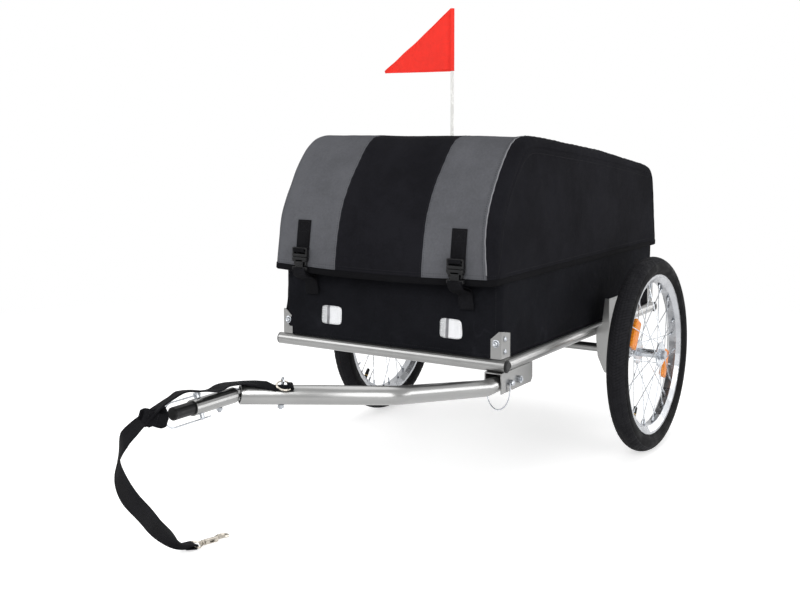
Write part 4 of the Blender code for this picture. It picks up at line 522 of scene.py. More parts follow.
def tread_rubber(name, colour):
    """Tyre rubber: sipes across the tread, moulded rings on the wall, dust, and painted highlight
    that makes the tread's knob tops lighter than its sipes and the wall.
    """
    finish = Finish(name, colour, 0.72, Specular_IOR_Level=0.09)
    along, across = finish.weave()
    width = abs(across)
    sipes = finish.level(abs(finish.wave(along + width * 0.55, 0.0125)), 0.12, 0.30)
    tread = finish.level(width, 0.0245, 0.0225)
    rings = finish.wave(width, 0.0019) * finish.level(width, 0.031, 0.034)
    dust = finish.grain(55.0, 5.0)
    height = sipes * tread + rings * 0.12 + finish.grain(500.0) * 0.12
    # The dust is real; the tread-times-sipes share is painted highlight on the knob tops, with the
    # sipes between them left darker as painted shade.
    dust_and_painted_tread_light = dust * 0.35 + tread * sipes * 0.5
    return finish.look(bump=(height, 0.0016), tone=(dust_and_painted_tread_light, 0.10, 0.62, 0.7, 2.4),
                       roughness=(dust, 0.3, 0.7, 0.62, 0.84))


def prism_amber(name, colour):
    """Amber reflector: a clear coat over rows of small prisms, with painted glints that make the
    amber lighter and yellower on the prisms' rises.
    """
    finish = Finish(name, colour, 0.14, Specular_IOR_Level=0.3, Coat_Weight=0.25,
                    Coat_Roughness=0.04)
    y, z = finish.parts(finish.here())[1:]
    ridge = abs(finish.wave(y + z, 0.0052)) * abs(finish.wave(y - z, 0.0052))
    # Painted glints: the colour goes from deep amber to lighter, yellower amber as the prisms rise.
    return finish.look(bump=(ridge, 0.0006, 0.8), roughness=(ridge, 0.0, 1.0, 0.24, 0.10),
                       tone=(ridge, 0.05, 0.6, (0.76, 0.150, 0.004), (0.98, 0.360, 0.014)))


def glass_bead_tape(name, colour):
    """Reflective tape: a close honeycomb of sealed cells on silver, with painted shade that darkens
    it towards its −X side, most of all beyond its dark band.
    """
    finish = Finish(name, colour, 0.30, 0.15, Coat_Weight=0.4, Coat_Roughness=0.1)
    along = finish.weave()[0]
    comb = finish.cells(330.0, finish.on_cloth(), "DISTANCE_TO_EDGE")
    wall = finish.level(comb, 0.02, 0.10)
    # Painted shade: the silver darkens towards the patch's −X side, most of all beyond the dark
    # band, and a little just on the other side of it.
    painted_shade_beside_band = (finish.level(along, -0.004, -0.016) * 0.45
              + finish.level(along, -0.012, 0.004, 1.0, 0.0) * 0.35)
    return finish.look(bump=(wall, 0.00025, 0.7),
                       tone=(wall, 0.70, finish.tint(painted_shade_beside_band, 1.0, 0.45)),
                       roughness=(wall, 0.0, 1.0, 0.45, 0.22))


def pennant_cloth(name, colour):
    """Bright red nylon: fine weave and soft shadows where it puckers."""
    finish = Finish(name, colour, 0.6, Specular_IOR_Level=0.12)
    along, across = finish.weave()
    threads = finish.wave(along, 0.0008) * finish.wave(across, 0.0008)
    crease = finish.grain(45.0, 3.0, distortion=1.0)
    broad = finish.bump(crease, 0.0012, 0.35)
    tone = crease * 0.7 + finish.grain(300.0) * 0.3
    return finish.look(bump=(threads, 0.00012, 0.5, broad), tone=(tone, 0.3, 0.7, 0.95, 1.05),
                       roughness=(crease, 0.3, 0.7, 0.48, 0.64))


grey_cloth = woven("grey_cloth", (0.091, 0.093, 0.102), light=1.12)
# The piping's lighter grey is painted highlight along the ridge of the hood's right seam.
piping_painted_highlight = woven("grey_piping_painted_highlight", (0.200, 0.203, 0.215), creases=0.1, light=1.2)
hood_cloth = woven("black_hood_cloth", (0.0080, 0.0080, 0.0100))
black_cloth = woven("black_tub_cloth", (0.0064, 0.0066, 0.0082), creases=0.9, painted_ridge_highlight=0.5)
binding_cloth = woven("binding_tape", (0.0052, 0.0052, 0.0060), period=0.0016, creases=0.2)
webbing = ribbed_webbing("black_webbing", (0.0046, 0.0046, 0.0056))
thread = moulded("polyester_thread", (0.0070, 0.0070, 0.0085), 0.6)
black_plastic = moulded("black_plastic", (0.0052, 0.0052, 0.0058), 0.40)
silver_paint = painted_metal("silver_powder_coat", (0.275, 0.275, 0.272), 0.96, 0.30)
zinc = plated("zinc_plate", (0.440, 0.460, 0.490), 0.24)
nickel = plated("warm_nickel", (0.480, 0.445, 0.390), 0.25)
hub_zinc = plated("hub_zinc", (0.640, 0.665, 0.700), 0.22)
brass = plated("brass", (0.560, 0.400, 0.160), 0.28)
rubber = tread_rubber("tyre_rubber", (0.0048, 0.0048, 0.0056))
amber = prism_amber("amber_reflector", (0.92, 0.300, 0.016))
tape = glass_bead_tape("reflective_tape", (0.80, 0.81, 0.83))
tape_band = moulded("tape_band", (0.160, 0.160, 0.170), 0.35)
red_nylon = pennant_cloth("red_nylon", (0.880, 0.038, 0.026))

SLOT_FINISHES = {
    "silver_paint": silver_paint,
    "zinc": zinc,
    "rim_alloy": polished_alloy("rim_alloy", (0.44, 0.45, 0.47)),
    "tyre": rubber,
    "black_plastic": black_plastic,
    "floor_panel": moulded("floor_panel", (0.0090, 0.0090, 0.0100), 0.50),
    "black_fabric": black_cloth,
    "cover_cloth": hood_cloth,
    "webbing": webbing,
    "amber": amber,
    "red_fabric": red_nylon,
    "white_plastic": moulded("white_fibreglass", (0.780, 0.780, 0.755), 0.34),
}

NODE_FINISHES = dict.fromkeys(("snap_hook", "snap_bolt", "strap_eye", "d_ring"), nickel)
NODE_FINISHES |= dict.fromkeys(("hub_and_spokes_left", "hub_and_spokes_right"), hub_zinc)


# Mesh helpers

def smooth_curve(points, per_span):
    """Points on a smooth curve that passes through the given ones."""
    ends = [points[0] * 2 - points[1]] + list(points) + [points[-1] * 2 - points[-2]]
    result = []
    for k in range(1, len(ends) - 2):
        p0, p1, p2, p3 = ends[k - 1:k + 3]
        for step in range(per_span):
            t = step / per_span
            result.append(0.5 * ((2 * p1) + (p2 - p0) * t + (2 * p0 - 5 * p1 + 4 * p2 - p3) * t * t
                                 + (3 * p1 - p0 - 3 * p2 + p3) * t ** 3))
    result.append(points[-1].copy())
    return result


def cross_frame(direction, hint=UP):
    """Two unit vectors square to a direction; the second is as near the hint as it can be."""
    direction = direction.normalized()
    if abs(direction.dot(hint)) > 0.97:
        hint = BACK
    side = hint.cross(direction).normalized()
    return side, direction.cross(side).normalized()


def hill(value, width, power=2):
    """1 at zero, falling away on both sides to nothing."""
    return math.exp(-(value / width) ** power)


def clamped(value):
    return min(1.0, max(0.0, value))


def around(side, up, angle):
    """The direction at an angle from side, on the way to up."""
    return side * math.cos(angle) + up * math.sin(angle)


def way_at(line, k):
    """The way along a line at one of its points."""
    return line[min(k + 1, len(line) - 1)] - line[max(k - 1, 0)]


def carried(points, hint=UP):
    """Each point of a line, the way along it there, and two directions square to that."""
    side, up = cross_frame(points[1] - points[0], hint)
    for k, point in enumerate(points):
        along = way_at(points, k).normalized()
        up = (up - along * up.dot(along)).normalized()
        yield point, along, up.cross(along), up


def distances(points):
    """How far along its line each point is."""
    gone = [0.0]
    for a, b in zip(points, points[1:]):
        gone.append(gone[-1] + (b - a).length)
    return gone


def mesh_from(name, bm):
    mesh = bpy.data.meshes.new(name)
    bm.to_mesh(mesh)
    bm.free()
    return mesh


def place_object(name, data):
    made = bpy.data.objects.new(name, data)
    bpy.context.scene.collection.objects.link(made)
    return made


def settle(name, bm, finish, body, slot, replaces="", smooth=True):
    """Make a piece from its mesh, in its place, on the body that it moves with."""
    bmesh.ops.recalc_face_normals(bm, faces=bm.faces)
    mesh = mesh_from(name, bm)
    mesh.transform(Matrix.Translation(SHIFT))
    for layer in finish if isinstance(finish, tuple) else (finish,):
        mesh.materials.append(layer)
    if smooth:
        mesh.shade_smooth()
    piece = place_object(name, mesh)
    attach(piece, body)
    if replaces:
        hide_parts(replaces)
    return piece


def skin(rows, weave=None, ring=False, capped=False):
    """Faces over rows of points, with each point's place on the cloth; a ring closes each row."""
    bm = bmesh.new()
    place = bm.verts.layers.float_vector.new("weave")
    lines = [[bm.verts.new(point) for point in row] for row in rows]
    if weave:
        for line, marks in zip(lines, weave):
            for corner, mark in zip(line, marks):
                corner[place] = mark
    for first, second in zip(lines, lines[1:]):
        count = len(first)
        for c in range(count if ring else count - 1):
            n = (c + 1) % count
            bm.faces.new((first[c], first[n], second[n], second[c]))
    if capped:
        bm.faces.new(lines[0])
        bm.faces.new(lines[-1])
    return bm


def cloth_rows(last_row, last_column, spot):
    """Rows of points and rows of their places on the cloth, from a function that gives both."""
    cells = [[spot(r, c) for c in range(last_column + 1)] for r in range(last_row + 1)]
    return tuple([[cell[k] for cell in row] for row in cells] for k in (0, 1))


def paint_columns(bm, count, second):
    """Give the second finish to the faces in those of the cloth's columns that ask for it."""
    for k, face in enumerate(bm.faces):
        face.material_index = int(second(k % count))


def area_of(bm):
    return sum(face.calc_area() for face in bm.faces)


def wave(point, size, seed=0.0):
    """Smooth noise of about this size, from -1 to 1."""
    return noise.noise(point / size + Vector((seed, seed * 1.7, -seed)))


def resampled(points, count):
    """The same line in steps of equal length."""
    gone = distances(points)
    result = []
    k = 0
    for step in range(count + 1):
        target = gone[-1] * step / count
        while k < len(points) - 2 and gone[k + 1] < target:
            k += 1
        share = (target - gone[k]) / (gone[k + 1] - gone[k])
        result.append(points[k].lerp(points[k + 1], clamped(share)))
    return result


def thicken(piece, thickness, offset=-1.0):
    layer = piece.modifiers.new("cloth", "SOLIDIFY")
    layer.thickness = thickness
    layer.offset = offset


def frames_along(points, facings):
    """The way along a line and a facing square to it, at each point; one facing can serve all."""
    if isinstance(facings, Vector):
        facings = [facings] * len(points)
    result = []
    for k, facing in enumerate(facings):
        along = way_at(points, k).normalized()
        result.append((along, (facing - along * facing.dot(along)).normalized()))
    return result


def band(name, stations, thickness, body, replaces=""):
    """A piece of webbing through stations of middle, facing and width."""
    points = [point for point, face, width in stations]
    ways = frames_along(points, [face for point, face, width in stations])
    rows, weave = [], []
    for (point, _, width), (along, face), gone in zip(stations, ways, distances(points)):
        across = along.cross(face)
        rows.append([point + across * (a * width / 2) + face * (b * thickness / 2)
                     for a, b in BAND_RIM])
        weave.append([Vector((gone, a * width / 2, b)) for a, b in BAND_RIM])
    bm = skin(rows, weave, ring=True, capped=True)
    return settle(name, bm, webbing, body, "webbing", replaces)


def even_band(name, points, facing, width, body):
    """Webbing of one width that faces one way."""
    return band(name, [(point, facing, width) for point in points], WEBBING_T, body)


def stitches(bm, points, facings, stitch=LONG_STITCH, gap=0.0):
    """Short raised threads laid end to end along a line on the cloth."""
    pitch, length, width = stitch
    ways = frames_along(points, facings)
    gone = 0.0
    due = pitch / 2
    for k in range(len(points) - 1):
        span = (points[k + 1] - points[k]).length
        while span > 0 and due <= gone + span:
            along, face = ways[k]
            across = along.cross(face) * width / 2
            spot = points[k].lerp(points[k + 1], (due - gone) / span) + face * gap
            ends = [bm.verts.new(spot + along * (t * length / 2) - face * STITCH_SUNK)
                    for t in (-1, 1)]
            sides = [bm.verts.new(spot + across * t) for t in (-1, 1)]
            top = bm.verts.new(spot + face * width * STITCH_RISE)
            for end in ends:
                for side in sides:
                    bm.faces.new((end, side, top))
            due += pitch
        gone += span


def between_corners(corners, steps):
    """Even steps along the straight lines from corner to corner."""
    return [(u0 + (u1 - u0) * k / steps, v0 + (v1 - v0) * k / steps)
            for (u0, v0), (u1, v1) in zip(corners, corners[1:]) for k in range(steps)]


def turned(profile, axis, centre, segments=24):
    """A closed turned form from (along, radius) pairs."""
    side, up = cross_frame(axis)
    axis = axis.normalized()
    bm = skin([[centre + axis * t + around(side, up, TURN * k / segments) * r for t, r in profile]
               for k in range(segments + 1)])
    bmesh.ops.remove_doubles(bm, verts=bm.verts, dist=SAME_SPOT)
    return bm


def tube(points, radius, hint=UP, sides=8):
    """A round bar through the points, with closed ends."""
    rows = [[point + around(side, up, TURN * n / sides) * radius for n in range(sides)]
            for point, along, side, up in carried(points, hint)]
    return skin(rows, ring=True, capped=True)


def soft_block(low, high, bevel, segments=3):
    """A moulded block with rounded edges."""
    low, high = Vector(low), Vector(high)
    bm = bmesh.new()
    bmesh.ops.create_cube(bm, size=1.0)
    for corner in bm.verts:
        corner.co = Vector(low[k] + (high[k] - low[k]) * (corner.co[k] + 0.5) for k in range(3))
    bmesh.ops.bevel(bm, geom=bm.edges[:], offset=bevel, segments=segments, affect="EDGES",
                    profile=0.5)
    return bm


def joined(parts):
    """One mesh out of several."""
    whole = bmesh.new()
    for part in parts:
        mesh = mesh_from("part", part)
        whole.from_mesh(mesh)
        bpy.data.meshes.remove(mesh)
    return whole


# Cover

def cover_columns():
    """Places across the hood, close together at each seam, as (x, angle over its edge) pairs."""
    flat = COVER_HALF_W - COVER_EDGE_R
    marks = [-flat, STRIPE_LEFT, STRIPE_RIGHT, RIGHT_STITCH, flat]
    places = set()
    for start, end in zip(marks, marks[1:]):
        count = max(1, round((end - start) / COLUMN_W))
        for k in range(count + 1):
            places.add(round(start + (end - start) * k / count, 6))
        for near in (SEAM_GAP, TWIN_SEAM):
            if end - start > 0.02:
                places.add(round(start + near, 6))
                places.add(round(end - near, 6))
    middle = [(x, 0.0) for x in sorted(places)]
    edge = []
    for k in range(1, EDGE_STEPS + 1):
        angle = math.pi / 2 * k / EDGE_STEPS
        edge.append((flat + COVER_EDGE_R * math.sin(angle), angle))
    return [(-x, angle) for x, angle in reversed(edge)] + middle + edge


def cover_outline(front=COVER_FRONT):
    line = smooth_curve([Vector((0, y, z)) for y, z in front + COVER_TOP], 8)
    return resampled(line, COVER_ROWS)


def cover_belly(x):
    """Share of the front's bulge at a place across: full in the middle, drawn in by the buckles."""
    drawn = 0.33 * hill(abs(x) - BUCKLE_X, 0.026)
    return max(0.0, 1 - (abs(x) / COVER_HALF_W) ** 2.5 - drawn)


def cover_lean(place):
    """The hood's sideways drift: its right seam flares to the hem, its left shoulder draws in."""
    x = place.x
    low = max(0.0, 1 - (place.z - HEM_Z) / 0.075)
    flare = max(0.0, min((x - 0.13) / 0.088, (COVER_HALF_W - x) / 0.020)) if place.y < -0.3 else 0.0
    shoulder = hill(place.z - 0.545, 0.045) * max(0.0, -x / COVER_HALF_W) ** 3
    ahead = clamped((-0.28 - place.y) / 0.12)
    return 0.0075 * low * flare * flare + 0.0045 * shoulder * ahead


def cover_fold(point, share):
    """How far the hood's cloth stands out of its plain form."""
    calm = min(1.0, share / 0.02, (1 - share) / 0.02)
    across = math.cos(math.pi * point.x / (2 * COVER_HALF_W))
    between = (point.y - TOP_FRONT) / (TOP_REAR - TOP_FRONT)
    top = math.sin(math.pi * between) if 0 < between < 1 and point.z > 0.57 else 0.0
    sag = -0.0050 * top * across
    broad = 0.0017 * wave(point, 0.16, 3.1) + 0.0010 * wave(point, 0.065, 7.7)
    fine = 0.00045 * wave(point, 0.024, 1.3)
    pucker = 0.0
    for seam in (STRIPE_LEFT, STRIPE_RIGHT, SEAM_RIGHT):
        near = hill(point.x - seam, 0.013)
        pucker += near * 0.00055 * math.sin(share * 330 + 5 * wave(point, 0.09, seam * 50))
        pucker -= 0.0007 * hill(point.x - seam, 0.0016)
    fold = 0.0011 * hill(point.x - SEAM_RIGHT + 0.0035, 0.0030, 4)
    lip = 0.0030 * hill(point.x - 0.228, 0.011) * min(1.0, share * 4)
    return calm * (sag + broad + lip) + fine + pucker + fold


def cover_rows():
    """The hood's cloth by row along its outline and by column across, with its weave."""
    outline = cover_outline()
    middle = cover_outline(COVER_FRONT_MIDDLE)
    columns = cover_columns()
    last = len(outline) - 1
    step = (outline[1] - outline[0]).length

    def spot(r, c):
        point = outline[r]
        x, angle = columns[c]
        along = way_at(outline, r).normalized()
        outward = Vector((0, -along.z, along.y))
        if r in (0, last):
            outward = Vector((0, -1 if r == 0 else 1, 0))
        share = r / last
        radius = COVER_EDGE_R * min(1.0, 0.6 + max(0.0, point.z - HEM_Z) * 6)
        depth = radius * (1 - math.cos(angle))
        across = x
        if angle:
            across = math.copysign(COVER_HALF_W - radius + radius * math.sin(angle), x)
        place = point.lerp(middle[r], cover_belly(x)) - outward * depth + Vector((across, 0, 0))
        push = outward * math.cos(angle) + Vector((math.copysign(math.sin(angle), x), 0, 0))
        place = place + push * cover_fold(place, share)
        place.x += cover_lean(place)
        place.z -= HEM_SAG * (1 - (x / COVER_HALF_W) ** 2) * max(0.0, 1 - share / 0.06)
        return place, Vector((r * step, x + math.copysign(depth, x), 0))

    return cloth_rows(last, len(columns) - 1, spot)


def striped(x):
    """Whether this place across the hood is in one of its two grey panels."""
    return SEAM_LEFT < x < STRIPE_LEFT or STRIPE_RIGHT < x < SEAM_RIGHT


def side_panel(boundary, side):
    """A side of the hood, from its upper edge down to the hem, with its weave."""
    last = len(boundary) - 1

    def spot(r, c):
        t = c / SIDE_STEPS
        place = boundary[r].lerp(boundary[0].lerp(boundary[-1], r / last), t)
        hold = min(1.0, 5 * t, 5 * (1 - t), 30 * r / last, 30 * (1 - r / last))
        puff = 0.0035 * math.sin(math.pi * t) + 0.0026 * wave(place, 0.17, 5.0 * side)
        puff += 0.0011 * wave(place, 0.055, 8.0) + 0.0004 * wave(place, 0.022, 2.0)
        return place + Vector((side * puff * hold, 0, 0)), Vector((place.y, place.z, 0))

    return cloth_rows(last, SIDE_STEPS, spot)


def hem_loop(rows):
    """The hem's points round the hood, from the front's -X end, with the way up the cloth."""
    front, rear = rows[0], rows[-1]
    loop = [(point, (above - point).normalized()) for point, above in zip(front, rows[2])]
    loop += [(front[-1].lerp(rear[-1], k / HEM_STEPS), UP) for k in range(1, HEM_STEPS)]
    loop += [(point, (above - point).normalized())
             for point, above in reversed(list(zip(rear, rows[-3])))]
    loop += [(rear[0].lerp(front[0], k / HEM_STEPS), UP) for k in range(1, HEM_STEPS)]
    return loop


def edge_band(name, loop, height, body, slot, below=0.0008, proud=0.0013):
    """A strip of tape folded over an edge and sewn down on both sides."""
    rows, weave = [], []
    loop = loop + [loop[0]]
    gone = distances([point for point, rise in loop])
    for k, (point, rise) in enumerate(loop):
        before, after = loop[k - 1 if k else -2][0], loop[k + 1 if k < len(loop) - 1 else 1][0]
        out = (after - before).normalized().cross(rise).normalized()
        upper = height + 0.0005 * wave(point, 0.04, 6.0)
        section = ((-proud - 0.0012, height * 0.9), (-proud - 0.0013, 0.0010), (-0.0006, -below),
                   (proud, 0.0008), (proud + 0.0001, height * 0.5), (proud - 0.0001, upper),
                   (proud * 0.3, upper + 0.0003))
        rows.append([point + out * a + rise * b for a, b in section])
        weave.append([Vector((gone[k], b, 0)) for a, b in section])
    bm = skin(rows, weave, ring=True)
    bmesh.ops.remove_doubles(bm, verts=bm.verts, dist=SAME_SPOT)
    settle(name, bm, binding_cloth, body, slot)


def hood():
    rows, weave = cover_rows()
    columns = cover_columns()
    width = len(columns) - 1
    bm = skin(rows, weave)
    paint_columns(bm, width, lambda c: striped((columns[c][0] + columns[c + 1][0]) / 2))
    outline = cover_outline()
    length = distances(outline)[-1]
    top = settle("cover_cloth", bm, (hood_cloth, grey_cloth), *HOOD, "cover_fabric")
    thicken(top, CLOTH_T)

    sewn = bmesh.new()
    lines = list(zip(*rows))
    normals = [[way_at(row, c).cross(way_at(lines[c], r)).normalized() for c in range(width + 1)]
               for r, row in enumerate(rows)]
    for x in (STRIPE_LEFT - TWIN_SEAM, STRIPE_LEFT + TWIN_SEAM,
              STRIPE_RIGHT - TWIN_SEAM, STRIPE_RIGHT + TWIN_SEAM, RIGHT_STITCH):
        c = min(range(width + 1), key=lambda n: abs(columns[n][0] - x))
        stitches(sewn, lines[c], [line[c] for line in normals])
    height = STITCH_ABOVE_HEM / (outline[1] - outline[0]).length
    for end in (0, 1):
        for lift in (height, height - HEM_ROWS_APART):
            low = int(lift)
            first, second = (low, low + 1) if end == 0 else (-1 - low, -2 - low)
            line = [a.lerp(b, lift - low) for a, b in zip(rows[first], rows[second])]
            stitches(sewn, line[3:-3], normals[first][3:-3])

    for name, side in SIDES:
        boundary = [row[-1 if side > 0 else 0] for row in rows]
        panel, marks = side_panel(boundary, side)
        bm = skin(panel, marks)
        bmesh.ops.remove_doubles(bm, verts=bm.verts, dist=5 * SAME_SPOT)
        area = round(area_of(bm), 4)
        piece = settle("cover_side_" + name, bm, hood_cloth, *HOOD)
        thicken(piece, CLOTH_T)
        out = Vector((side, 0, 0))
        upper = [boundary[r].lerp(panel[r][4], 0.35) for r in range(4, len(boundary) - 4)]
        stitches(sewn, upper, out, gap=0.0004)
        foot = out * (COVER_HALF_W + CLOTH_T) + UP * (HEM_Z + STITCH_ABOVE_HEM)
        stitches(sewn, [foot + BACK * (y / 1000) for y in range(-496, 262, 6)], out)
    settle("cover_stitches", sewn, thread, *HOOD, smooth=False)
    edge = next(c for c, place in enumerate(columns) if place[0] > SEAM_RIGHT - 0.0005)
    line = [row[edge] + normal[edge] * 0.0004 for row, normal in zip(rows, normals)]
    # The piping along the right seam is real geometry; its lighter grey finish is painted
    # highlight.
    settle("cover_piping", tube(line[3:-3], PIPING_R, ACROSS), piping_painted_highlight, *HOOD)
    edge_band("cover_binding", hem_loop(rows), BINDING_H, *HOOD)


# Tub

def tub_ring(half, front, rear, radius, straight=56, corner=6):
    """Points round the tub's plan with their outward ways."""
    spots = []
    centres = ((half - radius, -front + radius, -90), (half - radius, rear - radius, 0),
               (-half + radius, rear - radius, 90), (-half + radius, -front + radius, 180))
    for cx, cy, start in centres:
        for step in range(corner + 1):
            angle = math.radians(start + 90 * step / corner)
            way = Vector((math.cos(angle), math.sin(angle), 0))
            spots.append((Vector((cx, cy, 0)) + way * radius, way))
    ring = []
    for k, (point, way) in enumerate(spots):
        after = spots[(k + 1) % len(spots)][0]
        ring.append((point, way))
        if (after - point).length > 0.05:
            for step in range(1, straight):
                ring.append((point.lerp(after, step / straight), way))
    return ring


def crease(u, z):
    """Height of the tub wall's long creases at a place on the wall."""
    height = 0.0
    for (u0, z0), (u1, z1), width, rise in TUB_CREASES:
        du, dz = u1 - u0, z1 - z0
        t = clamped(((u - u0) * du + (z - z0) * dz) / (du * du + dz * dz))
        gap = math.hypot(u - u0 - du * t, z - z0 - dz * t)
        height += rise * hill(gap, width) * math.sin(math.pi * (0.12 + 0.76 * t))
    return height


def tub_fold(point, way):
    """How far the tub's cloth stands out of its plain form."""
    share = (point.z - TUB_FOOT) / (TUB_TOP - TUB_FOOT)
    calm = max(0.0, min(1.0, share / 0.12, (1 - share) / 0.08))
    drawn = Vector((point.x, point.y, point.z * 0.4))
    broad = 0.0021 * wave(point, 0.13, 2.2) + 0.0012 * wave(drawn, 0.040, 9.0)
    wall = point.x if abs(way.y) > 0.7 else point.y * 0.5 + 0.05
    return calm * (0.0006 + broad + crease(wall, point.z)) + 0.0003 * wave(point, 0.016, 4.0)


def tub_point(x, z):
    """A point on the tub's front wall."""
    place = Vector((x, -TUB_FRONT, z))
    return place + AHEAD * tub_fold(place, AHEAD)


def tub():
    ring = tub_ring(TUB_HALF_W, TUB_FRONT, TUB_REAR, TUB_CORNER_R)
    points = [point for point, way in ring]
    gone = distances(points + points[:1])

    def spot(level, c):
        point, way = ring[c]
        z = TUB_FOOT + (TUB_TOP - TUB_FOOT) * level / TUB_LEVELS
        place = Vector((point.x, point.y, z))
        return place + way * tub_fold(place, way), Vector((gone[c], z, 0))

    rows, weave = cloth_rows(TUB_LEVELS, len(ring) - 1, spot)
    piece = settle("tub_cloth", skin(rows, weave, ring=True), black_cloth, *TUB, "tub_fabric")
    thicken(piece, TUB_CLOTH_T)
    sewn = bmesh.new()
    for level in (2, TUB_LEVELS - 2):
        stitches(sewn, rows[level] + rows[level][:1], [way for point, way in ring + ring[:1]])
    for x in (-TUB_HALF_W + 0.010, TUB_HALF_W - 0.010):
        stitches(sewn, [tub_point(x, TUB_FOOT + 0.006 + 0.004 * k) for k in range(36)], AHEAD)
    settle("tub_stitches", sewn, thread, *TUB, smooth=False)
    edge_band("tub_binding", [(point - UP * 0.008, UP) for point in rows[-1]], 0.0078, *TUB,
              below=0.0002, proud=0.0009)
    patch("right", PATCH_RIGHT_X)
    patch("left", PATCH_LEFT_X)


def patch(name, middle):
    """A reflective patch on the tub's front: rounded corners, a dark band and a sewn edge."""
    columns, levels = 22, 16

    def spot(level, c):
        u, v = c / columns * 2 - 1, level / levels * 2 - 1
        x = middle + u * PATCH_W / 2 * (1 - 0.10 * v ** 6)
        z = PATCH_Z + v * PATCH_H / 2 * (1 - 0.10 * u ** 6)
        lift = 0.0011 - 0.0008 * max(0.0, (max(abs(u), abs(v)) - 0.9) / 0.1) ** 2
        return tub_point(x, z) + AHEAD * lift, Vector((x - middle, z, 0))

    bm = skin(*cloth_rows(levels, columns, spot))
    paint_columns(bm, columns, lambda c: 6 <= c <= 8)
    thicken(settle("patch_" + name, bm, (tape, tape_band), *TUB), PATCH_T)
    line = [tub_point(middle + u * (PATCH_W / 2 - 0.002), PATCH_Z + v * (PATCH_H / 2 - 0.002))
            + AHEAD * 0.0012 for u, v in between_corners(SQUARE, 12)]
    sewn = bmesh.new()
    stitches(sewn, line, AHEAD, PATCH_STITCH)
    settle("patch_stitches_" + name, sewn, thread, *TUB, smooth=False)


# Buckles

def height_on(line, z):
    """How far forward an outline's front stands at a height."""
    for first, second in zip(line, line[1:]):
        if first.z <= z <= second.z:
            return first.y + (second.y - first.y) * (z - first.z) / (second.z - first.z)
    return line[0].y


def cover_front_y(z):
    """How far forward the hood's front stands at a height, at a buckle's place across."""
    side, middle = height_on(cover_outline(), z), height_on(cover_outline(COVER_FRONT_MIDDLE), z)
    return side + (middle - side) * cover_belly(BUCKLE_X)


def box_stitch(name, body, x, y_at, low, high, half):
    """A sewn square with a cross in it, where webbing is fixed."""
    line = []
    for u, v in between_corners(SQUARE + ((1, 1), (1, -1), (-1, 1)), 8):
        z = (low + high) / 2 + v * (high - low) / 2
        line.append(Vector((x + u * half, y_at(z), z)))
    sewn = bmesh.new()
    stitches(sewn, line, AHEAD, FINE_STITCH)
    settle(name, sewn, thread, body, "webbing", smooth=False)


